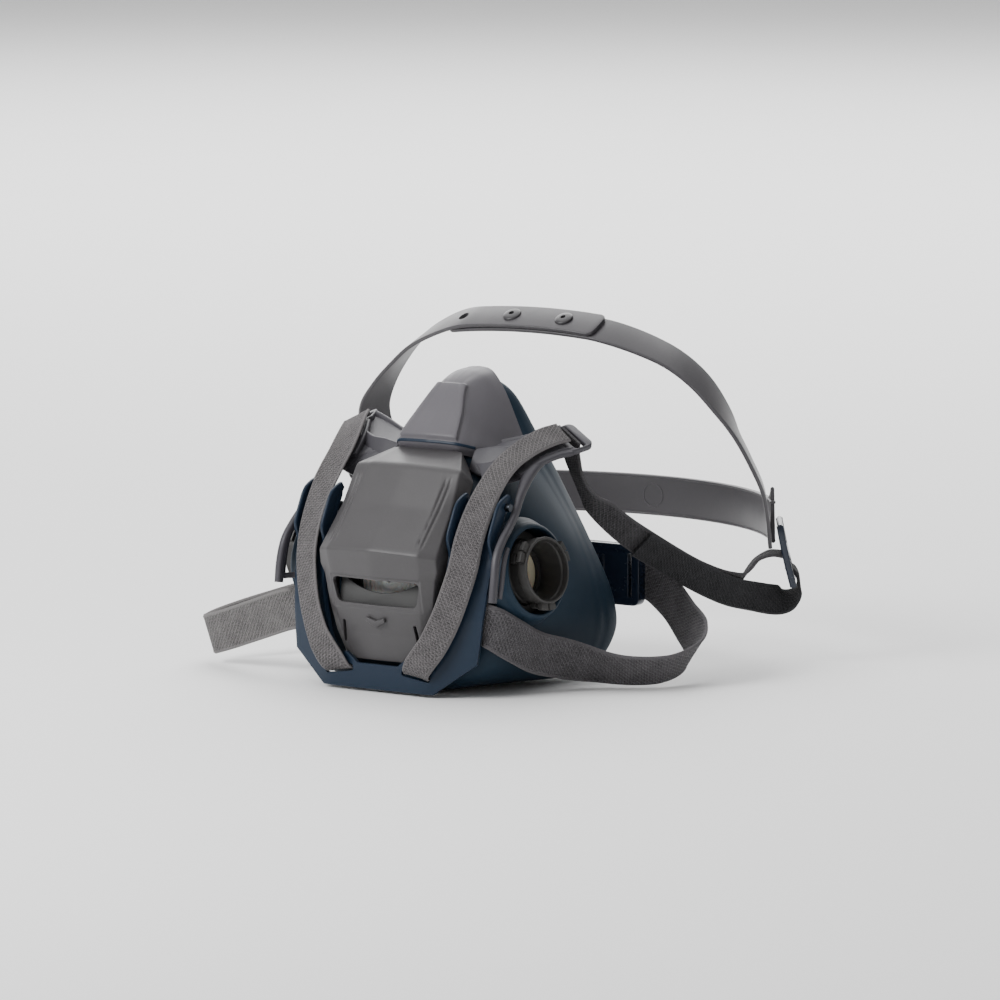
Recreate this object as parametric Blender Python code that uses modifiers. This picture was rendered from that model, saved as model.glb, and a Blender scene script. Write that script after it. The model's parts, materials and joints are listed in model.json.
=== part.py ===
"""Half-face respirator with a quick-release latch, two filter ports and a head harness.

All dimensions are millimetres. X is lateral, Y runs from the front of the mask to the
back of the head, Z is up. The finished part stands on Z = 0 with its box centred on the origin.
"""
import math

import bmesh
import bpy
import numpy as np
from mathutils import Matrix, Vector

MM = 0.001
GAP = 0.3
MERGE = 0.00001

# Webbing
WEBBING_WIDTH = 12.2
NECK_WEBBING_WIDTH = 16.5
WEBBING_THICKNESS = 1.2

# Filter port, measured along its own axis from the outer rim
PORT_CENTRE = (58.0, -0.2, 47.9)
PORT_AXIS = (0.985, -0.084, 0.151)
PORT_OUTER_RADIUS = 12.7
PORT_BORE_RADIUS = 11.2
PORT_DEPTH = 15.0
PORT_FLANGE_RADIUS = 15.9
PORT_FLANGE_THICKNESS = 2.5
LUG_RADIUS = 15.4
LUG_WIDTH = 8.0
LUG_ANGLES = (25.0, 145.0, 265.0)
BOOT_INNER_RADIUS = 16.2
BOOT_OUTER_RADIUS = 18.6
BOOT_DEPTH = 12.0
BOOT_SETBACK = 5.5
VALVE_RADIUS = 10.4
VALVE_THICKNESS = 0.6
SPIDER_RADIUS = 10.9
SPIDER_THICKNESS = 1.6

LUG_SETBACK = 2.2
LUG_HEIGHT = 2.4
LUG_ROOT = 0.8
BOOT_EDGE = 0.9
GASKET_INNER_RADIUS = 12.0
GASKET_BOTTOM = 1.9
SPIDER_INNER_RADIUS = 9.6
SPIDER_SETBACK = 0.6
SPOKE_LENGTH = 10.4
SPOKE_WIDTH = 1.5
SPOKE_ANGLES = (60.0, 180.0, 300.0)
SPIDER_POST_RADIUS = 1.1
SPIDER_POST_LENGTH = 5.0
INHALE_HOLE_RADIUS = 1.4

# Exhalation valve, on an axis that leans a little upwards; profiles are radius and height pairs
EXHALE_CENTRE = (0.0, -19.6, 42.0)
EXHALE_AXIS = (0.0, -0.977, 0.215)
EXHALE_SEAT_RADIUS = 14.6
EXHALE_SEAT_PROFILE = ((EXHALE_SEAT_RADIUS, 2.0), (EXHALE_SEAT_RADIUS, -1.4), (11.6, -1.4), (11.6, 1.0),
                       (13.4, 1.0), (13.4, 2.0))
EXHALE_SPOKE_SIZE = (24.0, 1.6, 1.6)
EXHALE_SPOKE_ANGLES = (90.0, 150.0, 210.0)
EXHALE_POST_RADIUS = 1.2
EXHALE_POST_LENGTH = 4.4
EXHALE_FLAP_PROFILE = ((12.8, 2.1), (12.8, 1.3), (1.6, 1.3), (1.6, 3.0), (2.6, 3.0), (3.4, 2.1))
ADAPTER_FIT = 0.93
ADAPTER_THICKNESS = 2.0

# Face seal: sections from the front opening to the face flange, one half, top to chin
SEAL_THICKNESS = 1.5
SEAL_SECTIONS = (
    ((0, -8, 75), (10, -9, 74), (17, -10.5, 71), (22.5, -12.5, 66), (25.5, -15, 57),
     (26.5, -17, 46), (25.5, -19, 33), (22, -20, 22), (13, -21.5, 14), (0, -22, 13)),
    ((0, -0.5, 77), (12, -1, 76), (20.5, -2.5, 73.5), (28.5, -5, 69), (35.5, -8, 59),
     (41, -11.5, 46), (43.5, -14, 30), (39.5, -17, 12), (22, -20, 2.6), (0, -21, 2.2)),
    ((0, 10, 92.5), (12.5, 9.5, 90), (22, 9, 81.5), (34.5, 7, 73.5), (44.5, 4, 61),
     (49, 1, 46), (49, -1, 28), (43.5, -3, 8), (26, -6, 0.9), (0, -8, 0.9)),
    ((0, 27, 111.8), (11.5, 27, 102), (20.8, 27, 89), (34, 28, 76), (45, 30, 58),
     (50, 32, 38), (50.5, 32, 20), (45.5, 26, 3.4), (27, 20, 0.9), (0, 18, 0.8)),
    ((0, 39, 116.6), (11.5, 42, 109.2), (19.5, 46, 94), (29, 51, 74), (39, 56, 51),
     (47, 58.5, 31), (50.5, 55, 16), (46, 44, 3.4), (26, 33, 0.9), (0, 29, 0.9)),
    ((0, 43, 112.4), (8.6, 46, 106), (16, 49.8, 92), (25.2, 55, 72.5), (35, 60.2, 50.5),
     (43, 62.4, 32), (46, 59, 18.5), (41.5, 48, 8.4), (24, 37, 5), (0, 33, 5)),
    ((0, 43.5, 104), (5, 46.5, 99.6), (9.6, 49.5, 87), (17.5, 54.5, 70), (27, 59.5, 50),
     (34.8, 61, 34.5), (37.5, 58, 23), (33.5, 48.5, 14.5), (18.5, 39.5, 11.5), (0, 36, 11.5)),
)

# Nose shell: sections from its lower front edge to its rear seam, one half, centre to side
SHELL_THICKNESS = 1.8
NOSE_SECTIONS = (
    ((0, 1.5, 94.2), (7, 2, 94.1), (13.5, 3, 93.7), (17.5, 7, 92.2), (20.5, 11.5, 90.6), (22.8, 16, 89.4)),
    ((0, 10, 104.2), (5.6, 10.4, 104.1), (10.5, 11, 103.6), (15.6, 14.5, 99.4), (20.2, 18, 94.2),
     (24, 21, 89.6)),
    ((0, 18.3, 113.5), (3.6, 18.5, 113.4), (6.9, 18.9, 112.9), (13.2, 21.6, 107.4), (19.2, 23.8, 99.4),
     (24.4, 25.5, 90.4)),
    ((0, 27.5, 118.3), (4.6, 27.5, 117.8), (8.6, 27.7, 115.6), (14.2, 28.8, 109.4), (19.6, 29.4, 100.8),
     (24.8, 29.6, 90.8)),
    ((0, 37, 119.4), (5, 36.6, 118.8), (9.2, 35.6, 116.4), (14.8, 34.2, 110), (20.2, 33, 101),
     (25.2, 32.2, 91.6)),
)

# Exhalation cover: sections from the top edge to the tab, one half, centre to side
COVER_THICKNESS = 1.8
COVER_SECTIONS = (
    ((0, 3.4, 90.2), (13, 3.2, 90), (16.1, 2.6, 89.6), (17.8, 4.5, 84)),
    ((0, -11.5, 85.6), (17, -11, 85.2), (24.4, -10.2, 84.3), (27.2, -5.5, 79.5)),
    ((0, -22.5, 70), (19.5, -21.5, 70), (25.5, -18, 69.5), (27.4, -13, 67)),
    ((0, -36, 55), (21, -34, 54), (27.5, -30.5, 53), (27.6, -21, 53)),
    ((0, -36, 49.5), (21, -34, 48.5), (27.5, -30.5, 47.5), (27.6, -21, 47.5)),
    ((0, -33.6, 45), (20.5, -32, 44), (25.9, -29, 43.5), (26.4, -21.5, 43.5)),
    ((0, -32.5, 33), (20, -31, 33), (24.4, -28.2, 33), (24.9, -23.5, 33)),
    ((0, -29.6, 22), (18.5, -28, 22), (22.5, -26, 22), (23.6, -23.5, 22)),
    ((0, -28, 15.5), (15, -27.3, 15.5), (18.5, -26.4, 15.5), (20, -25, 15.5)),
)
WINDOW_HALF_WIDTH = 19.5
WINDOW_LOW = 34.0
WINDOW_HIGH = 42.6

# Quick latch: a bent U-shaped plate with fins beside each strap
LATCH_THICKNESS = 1.8
LATCH_HEIGHTS = (0.8, 7.0, 13.0, 20.0, 30.0, 40.0, 50.0, 60.0, 68.0, 75.0)
LATCH_OUTER = (25.7, 34.2, 42.5, 43.4, 44.3, 45.2, 46.0, 46.4, 46.4, 46.4)
LATCH_INNER = (12.0, 15.0, 17.6, 22.6, 25.6, 28.2, 28.7, 28.8, 28.8, 28.8)
NOTCH_HEIGHT = 13.0
ARM_COLUMNS = 5
LATCH_LEAN_HEIGHTS = (0.0, 20.0, 30.0, 40.0, 50.0, 60.0, 70.0, 78.0)
LATCH_LEAN = (0.0, 0.9, 1.3, 2.5, 4.4, 7.3, 12.2, 18.5)
LATCH_FRONT = -31.2
LATCH_BEND_X = 23.0
LATCH_BEND_SLOPE = 0.28
FIN_HEIGHT = 5.4
FIN_THICKNESS = 1.5
FIN_BOTTOM = 50.0
FIN_TOP_MARGIN = 0.5
FIN_POINTS = 9
FIN_INSET = 0.05
FIN_RAMP = 7.0
FIN_START = 0.15
FIN_ROOT = 1.0
STRAP_SLOT_CENTRE = (18.0, -31.0, 7.6)
STRAP_SLOT_SIZE = (13.4, 12.0, 3.8)
STRAP_SLOT_DIRECTION = (0.99, 0.0, -0.15)
HINGE_Y = -11.0
HINGE_Z = 72.0
PIN_RADIUS = 1.5
PIN_INNER_X = 45.0
PIN_OUTER_X = 48.4
LATCH_HOLE_X = 46.0
LATCH_HOLE_LENGTH = 4.0

# Frame arm: routes of centre points and the direction across each strip
SADDLE_ROUTE = (
    ((39.6, 1.6, 84.0), (0.98, 0.0, -0.1)),
    ((42.6, 9.6, 89.2), (0.95, -0.08, -0.25)),
    ((46.2, 17.0, 92.2), (0.90, -0.17, -0.40)),
    ((49.6, 23.0, 93.4), (0.866, -0.223, -0.446)),
)
SADDLE_SIZE = (15.0, 2.4)
WING_ROUTE = (
    ((20.0, 3.6, 85.4), (0.15, 0.25, 0.95)),
    ((28.0, 6.4, 87.0), (0.15, 0.25, 0.95)),
    ((36.0, 10.0, 89.0), (0.1, 0.35, 0.93)),
    ((43.0, 14.5, 91.0), (0.1, 0.4, 0.9)),
)
WING_SIZE = (7.0, 2.6)
STRUT_ROUTE = (
    ((46.6, 12.0, 89.6), (0.97, 0.0, -0.2)),
    ((47.2, 4.0, 84.0), (0.99, 0.1, 0.0)),
    ((48.0, -3.0, 76.4), (0.99, 0.1, 0.0)),
    ((48.6, -9.5, 68.0), (0.99, 0.1, 0.0)),
    ((49.2, -18.0, 60.0), (0.99, 0.1, 0.0)),
    ((49.8, -22.6, 54.0), (0.99, 0.1, 0.0)),
    ((50.4, -24.8, 46.0), (0.99, 0.1, 0.0)),
    ((50.4, -26.0, 37.6), (0.99, 0.1, 0.0)),
)
STRUT_SIZE = (3.6, 3.6)
FOOT_ROUTE = (
    ((50.6, -24.8, 39.9), (0.0, 1.0, 0.0)),
    ((48.4, -20.6, 39.9), (0.5, 0.8, 0.0)),
    ((45.4, -18.6, 39.9), (0.2, 1.0, 0.0)),
    ((42.0, -18.2, 39.9), (0.0, 1.0, 0.0)),
)
FOOT_SIZE = (2.0, 2.4)
STRAP_BAR_CENTRE = (42.0, -18.2, 30.2)
STRAP_BAR_RADIUS = 1.0
STRAP_BAR_LENGTH = 20.0
EAR_X = 48.2
EAR_RADIUS = 4.0
EAR_THICKNESS = 2.4
HINGE_HOLE_X = 48.0
HINGE_HOLE_LENGTH = 6.0

# Harness hook: width and strap directions of the slot plate
HOOK_CENTRE = (50.0, 26.4, 94.6)
HOOK_WIDTH_DIRECTION = (0.866, -0.223, -0.446)
HOOK_STRAP_DIRECTION = (0.350, 0.910, 0.223)
HOOK_HALF_WIDTH = 8.3
HOOK_FRONT = -6.5
HOOK_REAR = 6.6
HOOK_THICKNESS = 2.6
HOOK_SLOT_HALF_WIDTH = 6.7
HOOK_SLOT_FRONT = -2.4
HOOK_SLOT_REAR = 2.6
HOOK_SLOT_DEPTH = 14.0

# Strap routes, wearer's left side: centre points and the direction across the webbing
FRONT_STRAP_ROUTE = (
    ((18.0, -28.4, 7.3), (0.99, 0.0, -0.15)),
    ((18.3, -30.9, 8.0), (0.99, 0.0, -0.15)),
    ((20.0, -32.6, 10.8), (0.95, 0.0, -0.30)),
    ((23.6, -32.9, 15.4), (0.93, 0.06, -0.36)),
    ((27.3, -32.2, 20.6), (0.94, 0.18, -0.28)),
    ((31.7, -30.6, 30.0), (0.955, 0.28, -0.06)),
    ((34.8, -28.6, 40.0), (0.955, 0.29, 0.0)),
    ((36.9, -26.1, 50.0), (0.955, 0.29, 0.0)),
    ((37.4, -23.0, 60.0), (0.96, 0.27, 0.0)),
    ((37.8, -17.4, 70.0), (0.97, 0.22, 0.0)),
    ((38.2, -9.5, 79.6), (0.98, 0.08, 0.0)),
    ((39.2, -0.8, 87.0), (0.98, 0.0, -0.1)),
    ((42.0, 8.0, 92.4), (0.95, -0.08, -0.25)),
    ((45.6, 16.5, 96.1), (0.90, -0.17, -0.40)),
    ((48.9, 23.2, 97.6), (0.866, -0.223, -0.446)),
)
REAR_STRAP_ROUTE = (
    ((50.8, 25.9, 96.4), (0.866, -0.223, -0.446)),
    ((49.2, 27.3, 92.6), (0.866, -0.223, -0.446)),
    ((49.6, 28.4, 87.4), (0.88, -0.36, -0.25)),
    ((51.2, 29.8, 80.4), (0.76, -0.58, 0.16)),
    ((53.2, 33.4, 73.2), (0.52, -0.62, 0.50)),
    ((55.6, 39.0, 67.0), (0.36, -0.54, 0.76)),
    ((60.4, 52.4, 56.2), (0.30, -0.46, 0.83)),
    ((67.4, 74.8, 42.4), (0.26, -0.36, 0.89)),
    ((72.1, 87.4, 35.8), (0.24, -0.24, 0.94)),
    ((76.0, 97.6, 32.4), (0.24, -0.16, 0.95)),
    ((77.6, 103.4, 34.4), (0.10, -0.08, 0.99)),
    ((78.8, 107.2, 38.8), (-0.20, 0.24, 0.90)),
    ((81.0, 110.6, 42.4), (-0.50, 0.60, 0.55)),
    ((84.4, 114.0, 43.4), (-0.60, 0.72, 0.20)),
)
TAIL_ROUTE = (
    ((63.4, 55.6, 51.8), (0.30, -0.46, 0.83)),
    ((69.4, 74.0, 41.4), (0.26, -0.36, 0.89)),
    ((74.1, 86.6, 34.6), (0.24, -0.24, 0.94)),
    ((78.2, 97.2, 29.9), (0.24, -0.14, 0.96)),
    ((82.4, 107.6, 27.2), (0.20, -0.02, 0.98)),
    ((86.2, 114.4, 25.6), (0.0, 0.20, 0.96)),
    ((89.8, 119.2, 25.6), (-0.40, 0.60, 0.66)),
    ((92.6, 122.4, 29.0), (-0.55, 0.80, 0.30)),
    ((92.7, 122.4, 34.0), (-0.55, 0.83, 0.06)),
    ((91.4, 121.4, 37.4), (-0.55, 0.83, 0.06)),
    ((88.6, 119.6, 38.8), (-0.55, 0.83, 0.06)),
)
NECK_ROUTE_LEFT_SIDE = (
    ((40.4, -20.6, 28.6), (0.0, 0.0, 1.0)),
    ((45.8, -19.4, 27.0), (0.05, -0.04, 0.99)),
    ((50.6, -11.0, 21.2), (0.08, -0.06, 0.99)),
    ((52.6, 0.0, 15.8), (0.10, -0.06, 0.99)),
    ((55.6, 12.0, 12.4), (0.16, -0.12, 0.97)),
    ((63.4, 23.6, 8.8), (0.30, -0.38, 0.87)),
    ((75.4, 31.0, 6.9), (0.36, -0.50, 0.78)),
    ((86.0, 39.8, 7.6), (0.56, -0.32, 0.76)),
    ((89.6, 51.0, 11.4), (0.56, 0.05, 0.83)),
    ((84.6, 62.0, 16.6), (0.30, 0.36, 0.88)),
    ((73.4, 70.4, 20.4), (0.08, 0.34, 0.93)),
    ((62.5, 76.8, 25.6), (0.0, 0.28, 0.96)),
    ((52.8, 79.0, 30.6), (0.0, 0.10, 0.99)),
)
NECK_ROUTE_RIGHT_SIDE = (
    ((-40.4, -20.6, 28.6), (0.0, 0.0, 1.0)),
    ((-46.0, -19.6, 27.4), (-0.05, -0.04, 0.99)),
    ((-55.0, -18.2, 25.0), (-0.08, -0.12, 0.98)),
    ((-70.0, -14.6, 20.0), (-0.14, -0.20, 0.96)),
    ((-86.0, -12.0, 14.6), (-0.18, -0.22, 0.95)),
    ((-97.0, -8.4, 11.4), (-0.24, -0.16, 0.95)),
    ((-101.6, -1.6, 10.6), (-0.30, 0.0, 0.95)),
    ((-100.0, 7.0, 12.6), (-0.26, 0.14, 0.95)),
    ((-92.0, 21.0, 16.6), (-0.12, 0.22, 0.96)),
    ((-76.0, 41.0, 22.6), (-0.06, 0.22, 0.97)),
    ((-55.0, 61.0, 27.6), (-0.04, 0.22, 0.97)),
    ((-34.0, 74.0, 31.0), (0.0, 0.20, 0.98)),
    ((-14.2, 79.0, 32.4), (0.0, 0.16, 0.99)),
)
NECK_BUCKLE_LEFT_X = -11.0
NECK_BUCKLE_RIGHT_X = 48.0
NECK_BUCKLE_Y = 79.0
NECK_BUCKLE_Z = 36.0
NECK_BUCKLE_HEIGHT = 24.0
NECK_BUCKLE_DEPTH = 5.0
NECK_POCKET_OFFSET = 8.0
NECK_POCKET_SIZE = (22.0, 2.8, 14.0)
NECK_TONGUE_OFFSET = 6.0
NECK_TONGUE_SIZE = (20.0, 2.0, 13.0)

# Head cradle
CROWN_ROUTE = (
    ((34.0, 74.2, 131.4), (0.02, 0.87, 0.49)),
    ((48.0, 77.4, 127.4), (0.0, 0.90, 0.45)),
    ((61.0, 80.8, 121.6), (-0.04, 0.93, 0.37)),
    ((71.5, 83.4, 113.6), (-0.10, 0.95, 0.30)),
    ((80.5, 84.6, 103.4), (-0.25, 0.95, 0.20)),
    ((86.8, 86.6, 93.0), (-0.50, 0.84, 0.15)),
    ((89.2, 93.0, 82.0), (-0.55, 0.82, 0.12)),
    ((89.2, 101.2, 71.0), (-0.56, 0.82, 0.10)),
    ((86.8, 108.6, 60.5), (-0.56, 0.82, 0.08)),
    ((84.4, 114.4, 49.5), (-0.55, 0.83, 0.06)),
)
CROWN_TOP_Y = 73.4
CROWN_TOP_Z = 133.4
CROWN_ACROSS = (0.0, 0.87, 0.49)
CROWN_NORMAL = (0.0, -0.49, 0.87)
CROWN_BOW = 0.0016
CROWN_JOIN_X = 22.0
CROWN_OUTER_LIFTS = (1.6, 0.9, 0.3, 0.0, 0.0, 0.0, 0.0, 0.0, 0.0, 0.0)
CROWN_LIFT_DIRECTION = (0.0, -0.5, 0.87)
CROWN_OVERLAP_LEFT_END = 31.5
CROWN_OVERLAP_RIGHT_END = -38.0
CROWN_WIDTH = 13.8
CRADLE_THICKNESS = 1.6
BAND_RADIUS = 104.0
BAND_CENTRE_Y = 56.0
BAND_HALF_ANGLE = 55.5
BAND_HEIGHT = 16.5
BAND_Z = 56.0
BAND_POINTS = 29
SNAP_POSITIONS = (-9.0, 15.5)
SNAP_EMPTY_POSITION = -33.0
SNAP_RADIUS = 3.6
SNAP_STEM_RADIUS = 1.9
SNAP_HEAD_THICKNESS = 1.0
SNAP_BORE_RADIUS = 0.9
SNAP_FOOT = 1.1
SNAP_HOLE_LENGTH = 12.0

# Cradle buckle
BUCKLE_CENTRE = (89.1, 119.4, 44.0)
BUCKLE_RAILS = (-10.0, -7.3, 7.3, 10.0)
BUCKLE_BARS = (-13.0, -10.6, -2.6, 2.2, 10.6, 13.0)
BUCKLE_SLOT_CELLS = (4, 10)
BUCKLE_THICKNESS = 2.4
BUCKLE_ACROSS = (-0.55, 0.83, 0.06)
BUCKLE_DOWN = (0.02, 0.36, -0.93)

SILICONE_BLUE = (0.030, 0.062, 0.095)
LATCH_BLUE = (0.040, 0.082, 0.125)
FRAME_GREY = (0.150, 0.143, 0.150)
COVER_GREY = (0.190, 0.180, 0.182)
PORT_GREY = (0.120, 0.118, 0.115)
WEBBING_GREY = (0.135, 0.125, 0.125)
CRADLE_GREY = (0.115, 0.108, 0.108)
BUCKLE_NAVY = (0.012, 0.022, 0.045)
VALVE_CREAM = (0.62, 0.58, 0.42)
VALVE_WHITE = (0.66, 0.66, 0.62)
STEEL = (0.5, 0.5, 0.5)

parts_collection = None
cutter_collection = None


def clear_scene():
    """Remove every object, so that the script can be run again."""
    for item in list(bpy.data.objects):
        bpy.data.objects.remove(item, do_unlink=True)


def new_collection(name):
    """Make a collection linked to the scene."""
    collection = bpy.data.collections.new(name)
    bpy.context.scene.collection.children.link(collection)
    return collection


def material(name, colour, roughness=0.5, metallic=0.0):
    """Make the Principled material of one part."""
    made = bpy.data.materials.new(name)
    made.use_nodes = True
    shader = made.node_tree.nodes["Principled BSDF"]
    shader.inputs["Base Color"].default_value = (*colour, 1.0)
    shader.inputs["Roughness"].default_value = roughness
    shader.inputs["Metallic"].default_value = metallic
    return made


def catmull_rom(points, per_span):
    """Sample a smooth curve that passes through the points."""
    points = np.asarray(points, float)
    padded = np.vstack([2 * points[0] - points[1], points, 2 * points[-1] - points[-2]])
    samples = []
    for index in range(len(points) - 1):
        before, start, end, after = padded[index:index + 4]
        for step in range(per_span):
            t = step / per_span
            samples.append(0.5 * (2 * start + (end - before) * t
                                  + (2 * before - 5 * start + 4 * end - after) * t ** 2
                                  + (3 * start - before - 3 * end + after) * t ** 3))
    samples.append(points[-1])
    return np.array(samples)


def unit(vector):
    """Scale vectors to length one."""
    vector = np.asarray(vector, float)
    return vector / np.linalg.norm(vector, axis=-1, keepdims=True)


def place(item, collection=None):
    """Link an object to the parts collection, or to another one."""
    (collection or parts_collection).objects.link(item)
    return item


def mesh_object(name, points, faces, collection=None):
    """Make an object from points in millimetres and a list of faces."""
    mesh = bpy.data.meshes.new(name)
    mesh.from_pydata([tuple(point) for point in np.asarray(points, float) * MM], [], faces)
    mesh.update()
    return place(bpy.data.objects.new(name, mesh), collection)


def grid_faces(rows, columns, wrap_columns=False, flip=False):
    """List the quads of a grid of rows by columns points."""
    faces = []
    last = columns if wrap_columns else columns - 1
    for row in range(rows - 1):
        for column in range(last):
            following = (column + 1) % columns
            quad = (row * columns + column, row * columns + following,
                    (row + 1) * columns + following, (row + 1) * columns + column)
            faces.append(quad[::-1] if flip else quad)
    return faces


def solidify(item, thickness, offset):
    """Thicken an open surface."""
    modifier = item.modifiers.new("thickness", "SOLIDIFY")
    modifier.thickness = thickness * MM
    modifier.offset = offset
    modifier.use_even_offset = True
    return modifier


def boolean(item, tool, operation="DIFFERENCE"):
    """Cut an object with a tool, or join the tool to it."""
    modifier = item.modifiers.new(operation.lower(), "BOOLEAN")
    modifier.operation = operation
    modifier.object = tool
    modifier.solver = "EXACT"
    tool.hide_render = True
    tool.display_type = "WIRE"
    return modifier


def finish(item, colour, roughness=0.5, metallic=0.0, smooth=None):
    """Give an object its material and, where it is round, smooth shading."""
    item.data.materials.clear()
    item.data.materials.append(material(item.name, colour, roughness, metallic))
    if smooth is not None:
        item.data.shade_smooth()
        item.data.set_sharp_from_angle(angle=math.radians(smooth))
    return item


def mirrored_rows(sections, per_span):
    """Turn half sections, listed from the middle out, into full rows of smooth points."""
    rows = []
    for section in sections:
        half = catmull_rom(section, per_span)
        other = half[:0:-1] * (-1, 1, 1)
        rows.append(np.vstack([other, half]))
    return np.array(rows)


def box(name, centre, size, directions=None, collection=None):
    """Make a box from its centre, its size and, if it is turned, its first two directions."""
    mesh = bpy.data.meshes.new(name)
    shape = bmesh.new()
    bmesh.ops.create_cube(shape, size=1.0)
    bmesh.ops.scale(shape, vec=Vector(size) * MM, verts=shape.verts)
    shape.to_mesh(mesh)
    shape.free()
    item = place(bpy.data.objects.new(name, mesh), collection)
    item.matrix_world = turned_matrix(centre, directions)
    return item


def turned_matrix(centre, directions=None):
    """Build the placement whose X and Y axes are the given directions."""
    if directions is None:
        return Matrix.Translation(Vector(centre) * MM)
    first = Vector(unit(directions[0]))
    second = Vector(unit(directions[1]))
    third = first.cross(second)
    rotation = Matrix((first, second, third)).transposed().to_4x4()
    return Matrix.Translation(Vector(centre) * MM) @ rotation


def axis_matrix(centre, axis):
    """Build the placement whose Z axis is the given axis."""
    return Matrix.Translation(Vector(centre) * MM) @ Vector(axis).to_track_quat("Z", "Y").to_matrix().to_4x4()


def cylinder(name, centre, axis, radius, length, segments=24, collection=None):
    """Make a cylinder centred on a point of its axis."""
    mesh = bpy.data.meshes.new(name)
    shape = bmesh.new()
    bmesh.ops.create_cone(shape, cap_ends=True, segments=segments, radius1=radius * MM,
                          radius2=radius * MM, depth=length * MM)
    shape.to_mesh(mesh)
    shape.free()
    item = place(bpy.data.objects.new(name, mesh), collection)
    item.matrix_world = axis_matrix(centre, axis)
    return item


def turned(name, profile, centre, axis, steps=32, collection=None):
    """Turn a closed profile of radius and height pairs about an axis."""
    points = [(radius, 0.0, height) for radius, height in profile]
    count = len(points)
    mesh = bpy.data.meshes.new(name)
    mesh.from_pydata([tuple(np.array(point) * MM) for point in points],
                     [(index, (index + 1) % count) for index in range(count)], [])
    item = place(bpy.data.objects.new(name, mesh), collection)
    item.matrix_world = axis_matrix(centre, axis)
    screw = item.modifiers.new("turn", "SCREW")
    screw.steps = steps
    screw.render_steps = steps
    screw.use_merge_vertices = True
    screw.merge_threshold = MERGE
    return item


def ribbon(name, route, width, thickness, per_span=4, side=1, collection=None):
    """Sweep a flat strip along a route of centre points and across directions."""
    centres = catmull_rom([centre for centre, across in route], per_span)
    acrosses = unit(catmull_rom([unit(across) for centre, across in route], per_span))
    tangents = unit(np.gradient(centres, axis=0))
    acrosses = unit(acrosses - tangents * np.sum(acrosses * tangents, axis=1, keepdims=True))
    reach = acrosses * (width / 2)
    strip = np.stack([centres - reach, centres + reach], axis=1) * (side, 1, 1)
    item = mesh_object(name, strip.reshape(-1, 3), grid_faces(len(centres), 2, flip=side < 0), collection)
    solidify(item, thickness, 0.0)
    return item


def side_name(side):
    """Name the wearer's side: +X is the wearer's left."""
    return "left" if side > 0 else "right"


def mirrored_point(point, side):
    """Mirror a point or direction across the middle plane for side -1."""
    return (point[0] * side, point[1], point[2])


def port_point(side, distance):
    """Find a point on the port's axis, measured outwards from its rim."""
    centre = np.array(mirrored_point(PORT_CENTRE, side))
    return centre + unit(mirrored_point(PORT_AXIS, side)) * distance


def exhale_point(distance):
    """Find a point on the exhalation valve's axis, measured forwards from the seat."""
    return np.array(EXHALE_CENTRE) + unit(EXHALE_AXIS) * distance


def make_face_seal():
    """Soft shell that wraps the lower face, with a port hole in each cheek."""
    rows = mirrored_rows(SEAL_SECTIONS, 2)
    middle = rows.shape[1] // 2
    rows = np.concatenate([rows[:, middle:], rows[:, 1:middle]], axis=1)
    flow = catmull_rom(rows.reshape(len(rows), -1), 3).reshape(-1, rows.shape[1], 3)
    item = mesh_object("face_seal", flow.reshape(-1, 3),
                       grid_faces(len(flow), flow.shape[1], wrap_columns=True))
    solidify(item, SEAL_THICKNESS, -1.0)
    for side in (1, -1):
        hole = cylinder(f"seal_hole_{side_name(side)}", port_point(side, -9.0), mirrored_point(PORT_AXIS, side),
                        BOOT_OUTER_RADIUS + GAP, 28.0, 40, cutter_collection)
        boolean(item, hole)
    return finish(item, SILICONE_BLUE, 0.55, smooth=40)


def make_nose_shell():
    """Stiff grey shell over the nose, held on the front of the seal."""
    rows = mirrored_rows(NOSE_SECTIONS, 2)
    item = mesh_object("nose_shell", rows.reshape(-1, 3), grid_faces(len(rows), rows.shape[1]))
    solidify(item, SHELL_THICKNESS, -1.0)
    return finish(item, FRAME_GREY, 0.42, smooth=35)


def make_center_adapter():
    """Plate that closes the seal's front opening and carries the exhalation valve."""
    opening = mirrored_rows(SEAL_SECTIONS[:1], 2)[0]
    middle = len(opening) // 2
    outline = np.concatenate([opening[middle:], opening[1:middle]])
    hub = np.array(EXHALE_CENTRE)
    rim = hub + (outline - hub) * ADAPTER_FIT
    across = np.array((1.0, 0.0, 0.0))
    upwards = np.cross(unit(EXHALE_AXIS), across)
    offsets = rim - hub
    angles = np.arctan2(offsets @ upwards, offsets @ across)
    bore = EXHALE_SEAT_RADIUS + 3 * GAP
    inner = hub + bore * (np.cos(angles)[:, None] * across + np.sin(angles)[:, None] * upwards)
    rings = np.array([inner, (inner + rim) / 2, rim])
    item = mesh_object("center_adapter", rings.reshape(-1, 3),
                       grid_faces(len(rings), len(outline), wrap_columns=True))
    solidify(item, ADAPTER_THICKNESS, 0.0)
    return finish(item, PORT_GREY, 0.5, smooth=35)


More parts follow.
